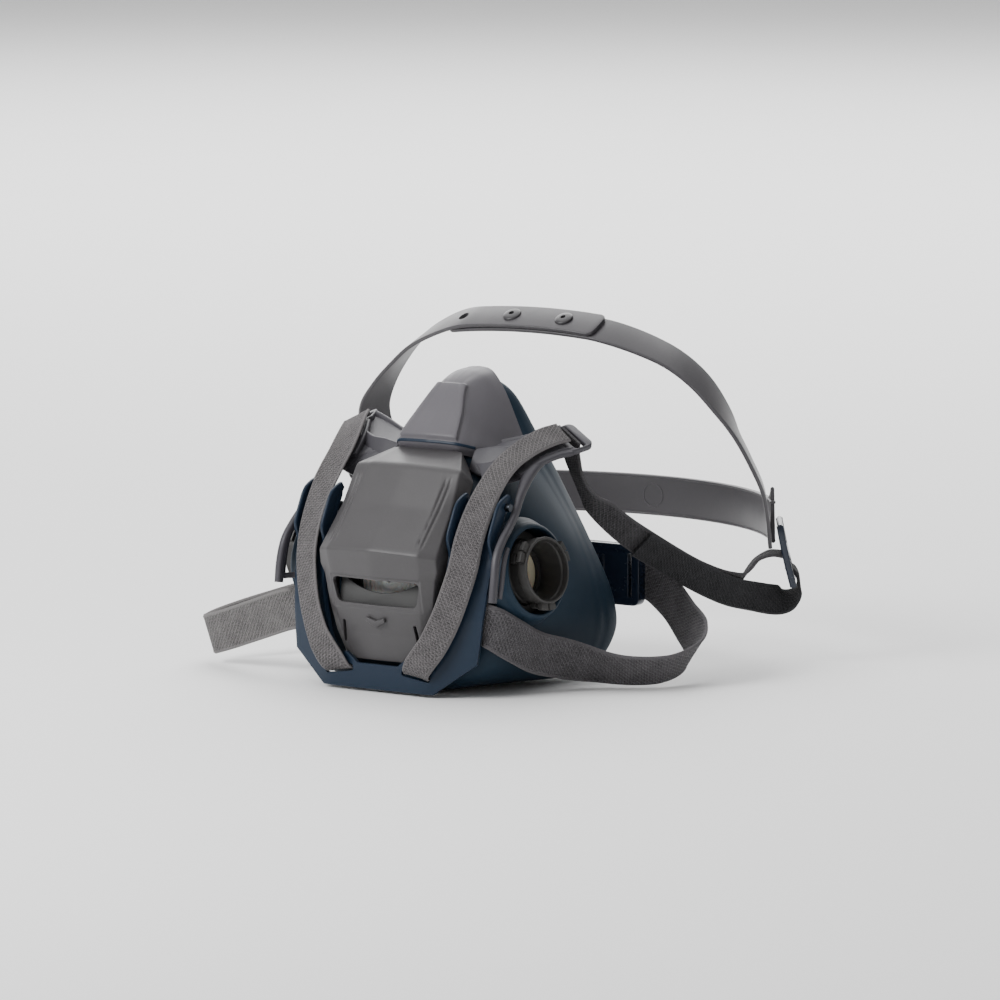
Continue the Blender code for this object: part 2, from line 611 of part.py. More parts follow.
def make_exhalation_valve():
    """Seat with spokes and a centre post, and the thin flap that lies on it."""
    seat = turned("exhalation_valve_seat", EXHALE_SEAT_PROFILE, EXHALE_CENTRE, EXHALE_AXIS)
    across = np.array((1.0, 0.0, 0.0))
    upwards = np.cross(unit(EXHALE_AXIS), across)
    for number, degrees in enumerate(EXHALE_SPOKE_ANGLES):
        angle = math.radians(degrees)
        along = math.cos(angle) * across + math.sin(angle) * upwards
        aside = np.cross(unit(EXHALE_AXIS), along)
        spoke = box(f"seat_spoke_{number}", exhale_point(-0.3), EXHALE_SPOKE_SIZE, (along, aside),
                    cutter_collection)
        boolean(seat, spoke, "UNION")
    post = cylinder("seat_post", exhale_point(1.5), EXHALE_AXIS, EXHALE_POST_RADIUS, EXHALE_POST_LENGTH, 16,
                    cutter_collection)
    boolean(seat, post, "UNION")
    finish(seat, PORT_GREY, 0.45, smooth=35)
    flap = turned("exhalation_valve_flap", EXHALE_FLAP_PROFILE, EXHALE_CENTRE, EXHALE_AXIS)
    finish(flap, VALVE_WHITE, 0.4, smooth=35)


def make_cover():
    """Front cover that shields the exhalation valve and directs the breath down."""
    rows = mirrored_rows(COVER_SECTIONS, 1)
    item = mesh_object("exhalation_valve_cover", rows.reshape(-1, 3),
                       grid_faces(len(rows), rows.shape[1], flip=True))
    solidify(item, COVER_THICKNESS, -1.0)
    window = box("cover_window", (0.0, -34.0, (WINDOW_LOW + WINDOW_HIGH) / 2),
                 (2 * WINDOW_HALF_WIDTH, 14.0, WINDOW_HIGH - WINDOW_LOW), None, cutter_collection)
    boolean(item, window)
    return finish(item, COVER_GREY, 0.38)


def add_spoke(item, name, side, degrees, reach, distance, size):
    """Join a block to a part of the port, turned about the port's axis and centred at a reach from it."""
    basis = axis_matrix((0.0, 0.0, 0.0), mirrored_point(PORT_AXIS, side)).to_3x3()
    angle = math.radians(degrees * side)
    outward = basis @ Vector((math.cos(angle), math.sin(angle), 0.0))
    aside = (basis @ Vector((0.0, 0.0, 1.0))).cross(outward)
    block = box(name, port_point(side, distance) + np.array(outward) * reach, size, (outward, aside),
                cutter_collection)
    boolean(item, block, "UNION")


def make_port_tube(side):
    """Bayonet tube with its flange and three lugs."""
    name = side_name(side)
    flange_top = PORT_FLANGE_THICKNESS - PORT_DEPTH
    tube = turned(f"port_{name}",
                  ((PORT_OUTER_RADIUS, 0.0), (PORT_OUTER_RADIUS, flange_top), (PORT_FLANGE_RADIUS, flange_top),
                   (PORT_FLANGE_RADIUS, -PORT_DEPTH), (PORT_BORE_RADIUS, -PORT_DEPTH), (PORT_BORE_RADIUS, 0.0)),
                  port_point(side, 0.0), mirrored_point(PORT_AXIS, side))
    inner = PORT_OUTER_RADIUS - LUG_ROOT
    for number, degrees in enumerate(LUG_ANGLES):
        add_spoke(tube, f"lug_{name}_{number}", side, degrees, (inner + LUG_RADIUS) / 2, -LUG_SETBACK,
                  (LUG_RADIUS - inner, LUG_WIDTH, LUG_HEIGHT))
    finish(tube, PORT_GREY, 0.45, smooth=35)


def make_port_rings(side):
    """Soft boot round the tube and the gasket behind its flange."""
    name = side_name(side)
    axis = mirrored_point(PORT_AXIS, side)
    centre = port_point(side, 0.0)
    boot = turned(f"port_boot_{name}",
                  ((BOOT_OUTER_RADIUS - BOOT_EDGE, -BOOT_SETBACK), (BOOT_OUTER_RADIUS, -BOOT_SETBACK - BOOT_EDGE),
                   (BOOT_OUTER_RADIUS, -BOOT_DEPTH), (BOOT_INNER_RADIUS, -BOOT_DEPTH),
                   (BOOT_INNER_RADIUS, -BOOT_SETBACK - BOOT_EDGE), (BOOT_INNER_RADIUS + BOOT_EDGE, -BOOT_SETBACK)),
                  centre, axis)
    finish(boot, SILICONE_BLUE, 0.5, smooth=35)
    gasket = turned(f"port_gasket_{name}",
                    ((BOOT_OUTER_RADIUS, -PORT_DEPTH - GAP), (BOOT_OUTER_RADIUS, -PORT_DEPTH - GASKET_BOTTOM),
                     (GASKET_INNER_RADIUS, -PORT_DEPTH - GASKET_BOTTOM), (GASKET_INNER_RADIUS, -PORT_DEPTH - GAP)),
                    centre, axis)
    finish(gasket, SILICONE_BLUE, 0.6, smooth=35)


def make_inhalation_valve(side):
    """Spoked seat inside the tube and the disc that lies behind it."""
    name = side_name(side)
    axis = mirrored_point(PORT_AXIS, side)
    low = SPIDER_SETBACK - PORT_DEPTH
    high = low + SPIDER_THICKNESS
    spider = turned(f"inhalation_valve_seat_{name}",
                    ((SPIDER_RADIUS, high), (SPIDER_RADIUS, low), (SPIDER_INNER_RADIUS, low),
                     (SPIDER_INNER_RADIUS, high)), port_point(side, 0.0), axis)
    for number, degrees in enumerate(SPOKE_ANGLES):
        add_spoke(spider, f"spoke_{name}_{number}", side, degrees, SPOKE_LENGTH / 2 - 0.2,
                  low + SPIDER_THICKNESS / 2, (SPOKE_LENGTH, SPOKE_WIDTH, SPIDER_THICKNESS - 0.1))
    post = cylinder(f"post_{name}", port_point(side, low - 1.0), axis, SPIDER_POST_RADIUS, SPIDER_POST_LENGTH,
                    16, cutter_collection)
    boolean(spider, post, "UNION")
    finish(spider, PORT_GREY, 0.5, smooth=35)
    flap_top = low - GAP
    flap = turned(f"inhalation_valve_{name}",
                  ((VALVE_RADIUS, flap_top), (VALVE_RADIUS, flap_top - VALVE_THICKNESS),
                   (INHALE_HOLE_RADIUS, flap_top - VALVE_THICKNESS), (INHALE_HOLE_RADIUS, flap_top)),
                  port_point(side, 0.0), axis)
    finish(flap, VALVE_CREAM, 0.5, smooth=35)


def latch_depth(x, height):
    """Depth of the latch plate's front face: a flat middle, swept-back sides and a lean."""
    lean = np.interp(height, LATCH_LEAN_HEIGHTS, LATCH_LEAN)
    return LATCH_FRONT + LATCH_BEND_SLOPE * np.maximum(np.abs(x) - LATCH_BEND_X, 0.0) + lean


def latch_faces(rows, panel_rows):
    """Quads of the latch: a full panel below the notch and two arms above it."""
    panel_columns = 2 * ARM_COLUMNS + 1
    arm_columns = 2 * ARM_COLUMNS
    faces = grid_faces(panel_rows, panel_columns)
    for row in range(panel_rows - 1, rows - 1):
        for column in range(arm_columns):
            if column % ARM_COLUMNS == ARM_COLUMNS - 1:
                continue
            above = panel_rows * panel_columns + (row + 1 - panel_rows) * arm_columns + column
            below = above - arm_columns
            if row == panel_rows - 1:
                below = row * panel_columns + column + (1 if column >= ARM_COLUMNS else 0)
            faces.append((below, below + 1, above + 1, above))
    return faces


def make_fin(side, edge):
    """Blade along one edge of a latch arm, tallest at its top."""
    values, sign = (LATCH_INNER, 1) if edge == "inner" else (LATCH_OUTER, -1)
    fin_heights = np.linspace(FIN_BOTTOM, LATCH_HEIGHTS[-1] - FIN_TOP_MARGIN, FIN_POINTS)
    strip = []
    for height in fin_heights:
        x = np.interp(height, LATCH_HEIGHTS, values) + sign * (FIN_THICKNESS / 2 + FIN_INSET)
        y = latch_depth(x, height)
        rise = min(1.0, (height - FIN_BOTTOM) / FIN_RAMP + FIN_START)
        strip.append((x * side, y + FIN_ROOT, height))
        strip.append((x * side, y - FIN_HEIGHT * rise, height))
    fin = mesh_object(f"latch_fin_{edge}_{side_name(side)}", strip,
                      grid_faces(len(fin_heights), 2, flip=side < 0), cutter_collection)
    solidify(fin, FIN_THICKNESS, 0.0)
    return fin


def make_latch():
    """Quick latch: bent plate, strap slots, hinge holes and the fins beside each strap."""
    points = []
    for height, reach, start in zip(LATCH_HEIGHTS, LATCH_OUTER, LATCH_INNER):
        half = np.linspace(start, reach, ARM_COLUMNS)
        middle = [0.0] if height <= NOTCH_HEIGHT else []
        for x in (*-half[::-1], *middle, *half):
            points.append((x, latch_depth(x, height), height))
    panel_rows = sum(height <= NOTCH_HEIGHT for height in LATCH_HEIGHTS)
    item = mesh_object("quick_latch", points, latch_faces(len(LATCH_HEIGHTS), panel_rows))
    solidify(item, LATCH_THICKNESS, -1.0)
    for side in (1, -1):
        name = side_name(side)
        for edge in ("inner", "outer"):
            boolean(item, make_fin(side, edge), "UNION")
        slot = box(f"latch_slot_{name}", mirrored_point(STRAP_SLOT_CENTRE, side), STRAP_SLOT_SIZE,
                   (mirrored_point(STRAP_SLOT_DIRECTION, side), (0.0, 1.0, 0.0)), cutter_collection)
        boolean(item, slot)
        hole = cylinder(f"latch_hole_{name}", (LATCH_HOLE_X * side, HINGE_Y, HINGE_Z), (1, 0, 0),
                        PIN_RADIUS + GAP, LATCH_HOLE_LENGTH, 20, cutter_collection)
        boolean(item, hole)
    return finish(item, LATCH_BLUE, 0.32, smooth=35)


def mirrored_copy(item, name):
    """Make the opposite-handed copy of a finished part, mirrored in the X = 0 plane."""
    bpy.context.view_layer.update()
    shaped = item.evaluated_get(bpy.context.evaluated_depsgraph_get())
    mesh = bpy.data.meshes.new_from_object(shaped)
    mesh.name = name
    mesh.transform(item.matrix_world)
    mesh.transform(Matrix.Diagonal((-1.0, 1.0, 1.0, 1.0)))
    mesh.flip_normals()
    return place(bpy.data.objects.new(name, mesh))


def hook_frame(side):
    """Centre, width direction and strap direction of the hook plate."""
    width = np.array(mirrored_point(HOOK_WIDTH_DIRECTION, side))
    strap = np.array(mirrored_point(HOOK_STRAP_DIRECTION, side))
    return np.array(mirrored_point(HOOK_CENTRE, side)), width, unit(strap - width * (strap @ width))


def make_frame_arm(side):
    """Grey arm: wing to the nose, saddle under the strap, slotted hook, strut and leg."""
    name = side_name(side)
    centre, width, strap = hook_frame(side)
    item = box(f"frame_arm_{name}", centre + strap * (HOOK_FRONT + HOOK_REAR) / 2,
               (2 * HOOK_HALF_WIDTH, HOOK_REAR - HOOK_FRONT, HOOK_THICKNESS), (width, strap))
    tools = [
        ribbon(f"saddle_{name}", SADDLE_ROUTE, *SADDLE_SIZE, 3, side, cutter_collection),
        ribbon(f"wing_{name}", WING_ROUTE, *WING_SIZE, 3, side, cutter_collection),
        ribbon(f"strut_{name}", STRUT_ROUTE, *STRUT_SIZE, 4, side, cutter_collection),
        cylinder(f"ear_{name}", (EAR_X * side, HINGE_Y, HINGE_Z), (1, 0, 0), EAR_RADIUS, EAR_THICKNESS, 24,
                 cutter_collection),
        ribbon(f"foot_{name}", FOOT_ROUTE, *FOOT_SIZE, 3, side, cutter_collection),
        cylinder(f"bar_{name}", mirrored_point(STRAP_BAR_CENTRE, side), (0, 0, 1), STRAP_BAR_RADIUS,
                 STRAP_BAR_LENGTH, 16, cutter_collection),
    ]
    for tool in tools:
        boolean(item, tool, "UNION")
    slot = box(f"hook_slot_{name}", centre + strap * (HOOK_SLOT_FRONT + HOOK_SLOT_REAR) / 2,
               (2 * HOOK_SLOT_HALF_WIDTH, HOOK_SLOT_REAR - HOOK_SLOT_FRONT, HOOK_SLOT_DEPTH), (width, strap),
               cutter_collection)
    boolean(item, slot)
    hole = cylinder(f"arm_hole_{name}", (HINGE_HOLE_X * side, HINGE_Y, HINGE_Z), (1, 0, 0), PIN_RADIUS + GAP,
                    HINGE_HOLE_LENGTH, 20, cutter_collection)
    boolean(item, hole)
    return finish(item, FRAME_GREY, 0.42, smooth=35)


def make_pin(side):
    """Steel pin that joins the latch to the frame arm."""
    middle = (PIN_INNER_X + PIN_OUTER_X) / 2 * side
    pin = cylinder(f"latch_pin_{side_name(side)}", (middle, HINGE_Y, HINGE_Z), (1, 0, 0), PIN_RADIUS,
                   PIN_OUTER_X - PIN_INNER_X, 20)
    return finish(pin, STEEL, 0.3, 1.0, smooth=35)


def make_strap(name, route, width, side=1):
    """One webbing strap."""
    finish(ribbon(name, route, width, WEBBING_THICKNESS, 4, side), WEBBING_GREY, 0.9, smooth=35)


def make_straps():
    """Webbing of both sides: front run, rear run with its tail, and the neck strap."""
    for side in (1, -1):
        name = side_name(side)
        make_strap(f"front_strap_{name}", FRONT_STRAP_ROUTE, WEBBING_WIDTH, side)
        make_strap(f"rear_strap_{name}", REAR_STRAP_ROUTE, WEBBING_WIDTH, side)
        make_strap(f"strap_tail_{name}", TAIL_ROUTE, WEBBING_WIDTH, side)
    make_strap("neck_strap_left", NECK_ROUTE_LEFT_SIDE, NECK_WEBBING_WIDTH)
    make_strap("neck_strap_right", NECK_ROUTE_RIGHT_SIDE, NECK_WEBBING_WIDTH)


def make_neck_buckle():
    """Clasp behind the neck: a receiver, and a hook plate that slides into it."""
    middle = (NECK_BUCKLE_LEFT_X + NECK_BUCKLE_RIGHT_X) / 2
    reach = NECK_BUCKLE_RIGHT_X - middle
    size = (reach - GAP, NECK_BUCKLE_DEPTH, NECK_BUCKLE_HEIGHT)
    offset = (reach + GAP) / 2
    receiver = box("neck_buckle_receiver", (middle + offset, NECK_BUCKLE_Y, NECK_BUCKLE_Z), size)
    pocket = box("receiver_pocket", (middle + NECK_POCKET_OFFSET, NECK_BUCKLE_Y, NECK_BUCKLE_Z), NECK_POCKET_SIZE,
                 None, cutter_collection)
    boolean(receiver, pocket)
    finish(receiver, BUCKLE_NAVY, 0.4)
    hook = box("neck_buckle_hook", (middle - offset, NECK_BUCKLE_Y, NECK_BUCKLE_Z), size)
    tongue = box("hook_tongue", (middle + NECK_TONGUE_OFFSET, NECK_BUCKLE_Y, NECK_BUCKLE_Z), NECK_TONGUE_SIZE,
                 None, cutter_collection)
    boolean(hook, tongue, "UNION")
    finish(hook, BUCKLE_NAVY, 0.4)


def crown_point(x):
    """Find a point on the flat top of the crown, which bows down to both sides."""
    bow = CROWN_BOW * x * x
    return np.array((x, CROWN_TOP_Y + bow * 0.5, CROWN_TOP_Z - bow))


def crown_top_route(start_x, end_x, rise):
    """Route of the flat top of the crown, raised by the thickness of the layer below."""
    normal = np.array(CROWN_NORMAL)
    return [(tuple(crown_point(x) + normal * rise), CROWN_ACROSS) for x in np.linspace(start_x, end_x, 5)]


def make_cradle():
    """Head cradle: rear band, both junctions and the two overlapping crown arms."""
    angles = np.radians(np.linspace(-BAND_HALF_ANGLE, BAND_HALF_ANGLE, BAND_POINTS))
    band_route = [((BAND_RADIUS * math.sin(angle), BAND_CENTRE_Y + BAND_RADIUS * math.cos(angle), BAND_Z),
                   (0.0, 0.0, 1.0)) for angle in angles]
    item = ribbon("head_cradle", band_route, BAND_HEIGHT, CRADLE_THICKNESS, 1)
    inner_layer = crown_top_route(CROWN_OVERLAP_RIGHT_END, CROWN_JOIN_X, 0.0) + list(CROWN_ROUTE)
    lift_direction = np.array(CROWN_LIFT_DIRECTION)
    outer_layer = crown_top_route(-CROWN_OVERLAP_LEFT_END, CROWN_JOIN_X, CRADLE_THICKNESS + GAP) + [
        (tuple(np.array(centre) + lift_direction * lift), across)
        for (centre, across), lift in zip(CROWN_ROUTE, CROWN_OUTER_LIFTS)]
    inner = ribbon("crown_inner", inner_layer, CROWN_WIDTH, CRADLE_THICKNESS, 3, 1, cutter_collection)
    outer = ribbon("crown_outer", outer_layer, CROWN_WIDTH, CRADLE_THICKNESS, 3, -1, cutter_collection)
    boolean(item, inner, "UNION")
    boolean(item, outer, "UNION")
    for number, x in enumerate((SNAP_EMPTY_POSITION,) + SNAP_POSITIONS):
        hole = cylinder(f"snap_hole_{number}", (x, CROWN_TOP_Y, CROWN_TOP_Z), CROWN_NORMAL,
                        SNAP_STEM_RADIUS + GAP, SNAP_HOLE_LENGTH, 20, cutter_collection)
        boolean(item, hole)
    finish(item, CRADLE_GREY, 0.4, smooth=35)


def make_crown_snap(number, x):
    """Stud with a head on both sides of the overlapping crown layers."""
    top = 1.5 * CRADLE_THICKNESS + GAP
    low = -0.5 * CRADLE_THICKNESS - GAP
    stud = turned(f"crown_snap_{number}",
                  ((SNAP_RADIUS, top + SNAP_HEAD_THICKNESS), (SNAP_RADIUS, top + GAP),
                   (SNAP_STEM_RADIUS, top + GAP), (SNAP_STEM_RADIUS, low), (SNAP_RADIUS, low),
                   (SNAP_RADIUS, low + GAP - SNAP_FOOT), (SNAP_BORE_RADIUS, low + GAP - SNAP_FOOT),
                   (SNAP_BORE_RADIUS, top + SNAP_HEAD_THICKNESS)),
                  crown_point(x), unit(CROWN_NORMAL), 24)
    finish(stud, CRADLE_GREY, 0.35, smooth=35)


def make_cradle_buckle(side):
    """Ladder-lock buckle below each junction: two side rails, three bars, two slots."""
    across = unit(mirrored_point(BUCKLE_ACROSS, side))
    down = np.array(mirrored_point(BUCKLE_DOWN, side))
    down = unit(down - across * (down @ across))
    centre = np.array(mirrored_point(BUCKLE_CENTRE, side))
    points = [centre + across * rail + down * bar for bar in BUCKLE_BARS for rail in BUCKLE_RAILS]
    cells = grid_faces(len(BUCKLE_BARS), len(BUCKLE_RAILS), flip=side < 0)
    faces = [cell for number, cell in enumerate(cells) if number not in BUCKLE_SLOT_CELLS]
    item = mesh_object(f"cradle_buckle_{side_name(side)}", points, faces)
    solidify(item, BUCKLE_THICKNESS, 0.0)
    return finish(item, BUCKLE_NAVY, 0.38)


def stand_on_origin(parent):
    """Move the parent so that the whole part's box stands centred on the origin."""
    bpy.context.view_layer.update()
    graph = bpy.context.evaluated_depsgraph_get()
    corners = []
    for item in parts_collection.objects:
        if item.type == "MESH":
            shaped = item.evaluated_get(graph)
            corners += [shaped.matrix_world @ vertex.co for vertex in shaped.to_mesh().vertices]
    low = np.min(np.array(corners), axis=0)
    high = np.max(np.array(corners), axis=0)
    parent.location = (-(low[0] + high[0]) / 2, -(low[1] + high[1]) / 2, -low[2])


def parent_all(parent):
    """Hang every part and cutter on the parent empty, keeping its place."""
    for collection in (parts_collection, cutter_collection):
        for item in collection.objects:
            if item is not parent:
                item.parent = parent


def main():
    """Build the respirator."""
    global parts_collection, cutter_collection
    clear_scene()
    parts_collection = new_collection("respirator")
    cutter_collection = new_collection("cutters")
    parent = place(bpy.data.objects.new("respirator_origin", None))
    make_face_seal()
    make_nose_shell()
    make_center_adapter()
    make_exhalation_valve()
    make_cover()
    make_latch()
    left_arm = make_frame_arm(1)
    right_arm = mirrored_copy(left_arm, "frame_arm_right")
    finish(right_arm, FRAME_GREY, 0.42)
    for side in (1, -1):
        make_port_tube(side)
        make_port_rings(side)
        make_inhalation_valve(side)
        make_pin(side)
        make_cradle_buckle(side)
    make_straps()
    make_neck_buckle()
    make_cradle()
    for number, x in enumerate(SNAP_POSITIONS, 1):
        make_crown_snap(number, x)
    bpy.context.view_layer.update()
    parent_all(parent)
    stand_on_origin(parent)
    bpy.context.view_layer.update()


main()
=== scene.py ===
"""Looks of a reusable half-face respirator: soft seal, quick latch, filter ports and head harness.

Lengths inside the classes are millimetres in the mask's own frame: X towards the wearer's left,
Y from the front of the mask to the back of the head, Z up. `Layout` carries them into the frame.
"""
import json
import logging
import math
from dataclasses import dataclass
from enum import Enum
from typing import Iterable, Optional, Sequence, Tuple, Union

import bmesh
import bpy
import numpy as np
from mathutils import Matrix, Vector


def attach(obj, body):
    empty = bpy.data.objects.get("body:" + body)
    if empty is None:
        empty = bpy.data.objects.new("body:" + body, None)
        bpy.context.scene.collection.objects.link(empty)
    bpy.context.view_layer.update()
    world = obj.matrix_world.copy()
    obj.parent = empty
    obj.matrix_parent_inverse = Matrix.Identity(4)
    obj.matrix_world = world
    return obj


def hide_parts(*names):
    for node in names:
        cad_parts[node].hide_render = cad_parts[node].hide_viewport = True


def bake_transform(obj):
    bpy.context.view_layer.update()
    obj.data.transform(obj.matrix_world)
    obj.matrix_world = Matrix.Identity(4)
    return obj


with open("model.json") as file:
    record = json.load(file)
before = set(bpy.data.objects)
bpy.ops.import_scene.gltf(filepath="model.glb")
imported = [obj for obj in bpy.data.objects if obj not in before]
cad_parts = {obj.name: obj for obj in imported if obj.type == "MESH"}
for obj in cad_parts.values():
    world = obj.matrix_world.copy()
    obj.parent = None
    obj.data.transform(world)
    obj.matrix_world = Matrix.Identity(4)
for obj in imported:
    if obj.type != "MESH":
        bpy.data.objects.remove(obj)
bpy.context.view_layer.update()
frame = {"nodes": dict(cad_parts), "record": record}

LOG = logging.getLogger("respirator")
Array = np.ndarray
Colour = Tuple[float, float, float]
Point = Tuple[float, float, float]
HINGE_IN_MASK = np.array((0.0, -11.0, 72.0))
MERGE_REACH = 1e-6


class Side(Enum):
    """The wearer's side that a piece sits on."""

    LEFT = 1
    RIGHT = -1

    @property
    def label(self) -> str:
        """Name used in node names."""
        return self.name.lower()


class Body(Enum):
    """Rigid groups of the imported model."""

    MASK = "mask"
    LATCH = "latch"
    HARNESS = "harness"
    EXHALE = "exhalation_flap"


class Layout:
    """Carries millimetres of the mask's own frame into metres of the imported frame."""

    def __init__(self) -> None:
        """Find the shift from the latch hinge, whose place is known in both frames."""
        hinge = next(joint for joint in frame["record"]["behaviour"]["joints"] if joint["name"] == "latch_hinge")
        self.shift: Array = np.array(hinge["pos_m"]) - HINGE_IN_MASK / 1000

    def metres(self, points: Array) -> Array:
        """Scale and shift points, the last axis being X, Y and Z."""
        return np.asarray(points, float) / 1000 + self.shift


LAYOUT = Layout()


# ---------------------------------------------------------------------------- shader tools

class Socket:
    """A number on a shader link, with Python's operators as Math nodes."""

    def __init__(self, paint: "Paint", link: Union[bpy.types.NodeSocket, float]) -> None:
        """Keep the material being painted and the link."""
        self.paint = paint
        self.link = link

    def _math(self, operation: str, *others: Union["Socket", float], clamp: bool = False) -> "Socket":
        """Add a Math node that works on this number and the others."""
        values = {0: self.link}
        for index, other in enumerate(others, 1):
            values[index] = other.link if isinstance(other, Socket) else float(other)
        node = self.paint.node("ShaderNodeMath", {"operation": operation, "use_clamp": clamp}, values)
        return Socket(self.paint, node.outputs[0])

    def __add__(self, other: Union["Socket", float]) -> "Socket":
        """Sum."""
        return self._math("ADD", other)

    __radd__ = __add__

    def __mul__(self, other: Union["Socket", float]) -> "Socket":
        """Product."""
        return self._math("MULTIPLY", other)

    __rmul__ = __mul__

    def __sub__(self, other: Union["Socket", float]) -> "Socket":
        """Difference."""
        return self._math("SUBTRACT", other)

    def __rsub__(self, other: Union["Socket", float]) -> "Socket":
        """Reflected difference."""
        return (self * -1.0) + other

    def __abs__(self) -> "Socket":
        """Absolute value."""
        return self._math("ABSOLUTE")

    def sine(self) -> "Socket":
        """Sine of an angle in radians."""
        return self._math("SINE")

    def clamped(self) -> "Socket":
        """The number held between 0 and 1."""
        return self._math("ADD", 0.0, clamp=True)

    def smooth(self, low: float, high: float) -> "Socket":
        """Rise smoothly from 0 at low to 1 at high."""
        node = self.paint.node("ShaderNodeMapRange", {"interpolation_type": "SMOOTHSTEP"},
                               {"Value": self.link, "From Min": low, "From Max": high})
        return Socket(self.paint, node.outputs[0])


class Paint:
    """Builds one node material around a Principled shader."""

    def __init__(self, name: str) -> None:
        """Start an empty material with its shader and output."""
        self.made = bpy.data.materials.new(name)
        self.made.use_nodes = True
        self.tree = self.made.node_tree
        self.tree.nodes.clear()
        self.shader = self.node("ShaderNodeBsdfPrincipled")
        output = self.node("ShaderNodeOutputMaterial")
        self.tree.links.new(self.shader.outputs[0], output.inputs["Surface"])

    def node(self, kind: str, settings: Optional[dict] = None, values: Optional[dict] = None) -> bpy.types.Node:
        """Add a node.

        Args:
            kind: Blender's node type.
            settings: node attributes, set first.
            values: socket name or index to a value or a link.

        Returns:
            The node.
        """
        made = self.tree.nodes.new(kind)
        for key, value in (settings or {}).items():
            setattr(made, key, value)
        for key, value in (values or {}).items():
            socket = made.inputs[key]
            link = value.link if isinstance(value, Socket) else value
            if isinstance(link, bpy.types.NodeSocket):
                self.tree.links.new(link, socket)
            else:
                socket.default_value = link
        return made

    def coordinates(self, kind: str = "Object") -> bpy.types.NodeSocket:
        """Object or UV coordinates."""
        return self.node("ShaderNodeTexCoord").outputs[kind]

    def axes(self, vector: bpy.types.NodeSocket) -> Tuple[Socket, Socket, Socket]:
        """Split a vector into its three numbers."""
        parts = self.node("ShaderNodeSeparateXYZ", None, {0: vector})
        return tuple(Socket(self, parts.outputs[index]) for index in range(3))

    def noise(self, vector: bpy.types.NodeSocket, scale: float, detail: float = 2.0,
              roughness: float = 0.5) -> Socket:
        """Noise around one half, `scale` blobs to the metre."""
        made = self.node("ShaderNodeTexNoise", None,
                         {"Vector": vector, "Scale": scale, "Detail": detail, "Roughness": roughness})
        return Socket(self, made.outputs[0])

    def mix(self, amount: Socket, first: Union[Colour, bpy.types.NodeSocket],
            second: Union[Colour, bpy.types.NodeSocket]) -> bpy.types.NodeSocket:
        """Blend two colours by an amount from 0 to 1."""
        made = self.node("ShaderNodeMix", {"data_type": "RGBA"})
        self.tree.links.new(amount.link, made.inputs[0])
        for index, colour in ((6, first), (7, second)):
            if isinstance(colour, bpy.types.NodeSocket):
                self.tree.links.new(colour, made.inputs[index])
            else:
                made.inputs[index].default_value = (*colour, 1.0)
        return made.outputs[2]

    def bump(self, height: Socket, distance: float, strength: float = 1.0) -> None:
        """Raise the surface by a height from 0 to 1 times a distance in metres."""
        made = self.node("ShaderNodeBump", None,
                         {"Strength": strength, "Distance": distance, "Height": height.link})
        self.tree.links.new(made.outputs[0], self.shader.inputs["Normal"])

    def drive(self, socket: str, value: Union[Socket, bpy.types.NodeSocket, float, Colour]) -> None:
        """Feed one of the Principled shader's sockets with a link or a constant."""
        link = value.link if isinstance(value, Socket) else value
        if isinstance(link, bpy.types.NodeSocket):
            self.tree.links.new(link, self.shader.inputs[socket])
        elif isinstance(link, tuple):
            self.shader.inputs[socket].default_value = (*link, 1.0)
        else:
            self.shader.inputs[socket].default_value = link


def shade(colour: Colour, factor: float) -> Colour:
    """A darker or lighter version of a colour."""
    return tuple(min(1.0, channel * factor) for channel in colour)


# ---------------------------------------------------------------------------- finishes

@dataclass(frozen=True)
class MouldedPlastic:
    """Injection-moulded plastic: fine spark-eroded grain, faint clouding, a slightly worn gloss."""

    name: str
    colour: Colour
    roughness: float = 0.42
    grain: float = 0.00003
    clouding: float = 0.06
    coat: float = 0.0
    gloss: float = 0.35

    def material(self) -> bpy.types.Material:
        """Build the material."""
        paint = Paint(self.name)
        place = paint.coordinates()
        cloud = paint.noise(place, 38.0, 3.0)
        speck = paint.noise(place, 900.0, 1.0)
        tone = (cloud - 0.5) * self.clouding * 6 + (speck - 0.5) * 0.5 + 0.5
        paint.drive("Base Color", paint.mix(tone.clamped(), shade(self.colour, 1 - self.clouding),
                                            shade(self.colour, 1 + self.clouding)))
        smear = paint.noise(place, 70.0, 4.0, 0.6)
        paint.drive("Roughness", ((smear - 0.5) * 0.22 + self.roughness).clamped())
        paint.drive("Coat Weight", self.coat)
        paint.drive("Coat Roughness", 0.18)
        paint.drive("Specular IOR Level", self.gloss)
        paint.bump(paint.noise(place, 2600.0, 2.0) * 0.7 + speck * 0.3, self.grain)
        return paint.made


@dataclass(frozen=True)
class Silicone:
    """Soft moulded silicone: an even colour with faint clouds, specks of dust and a low sheen."""

    name: str
    colour: Colour
    bloom: float = 0.10
    roughness: float = 0.52

    def material(self) -> bpy.types.Material:
        """Build the material."""
        paint = Paint(self.name)
        place = paint.coordinates()
        cloud = paint.noise(place, 26.0, 4.0, 0.6)
        fine = paint.noise(place, 420.0, 2.0)
        tone = ((cloud - 0.5) * 0.8 + (fine - 0.5) * 0.25 + 0.5).clamped()
        body = paint.mix(tone, shade(self.colour, 1 - self.bloom), shade(self.colour, 1 + self.bloom))
        dust = (paint.noise(place, 190.0, 5.0, 0.7).smooth(0.62, 0.82)) * 0.05
        paint.drive("Base Color", paint.mix(dust, body, (0.10, 0.11, 0.12)))
        paint.drive("Roughness", ((cloud - 0.5) * 0.2 + self.roughness).clamped())
        paint.drive("Specular IOR Level", 0.2)
        paint.bump(paint.noise(place, 1500.0, 3.0), 0.00003)
        return paint.made


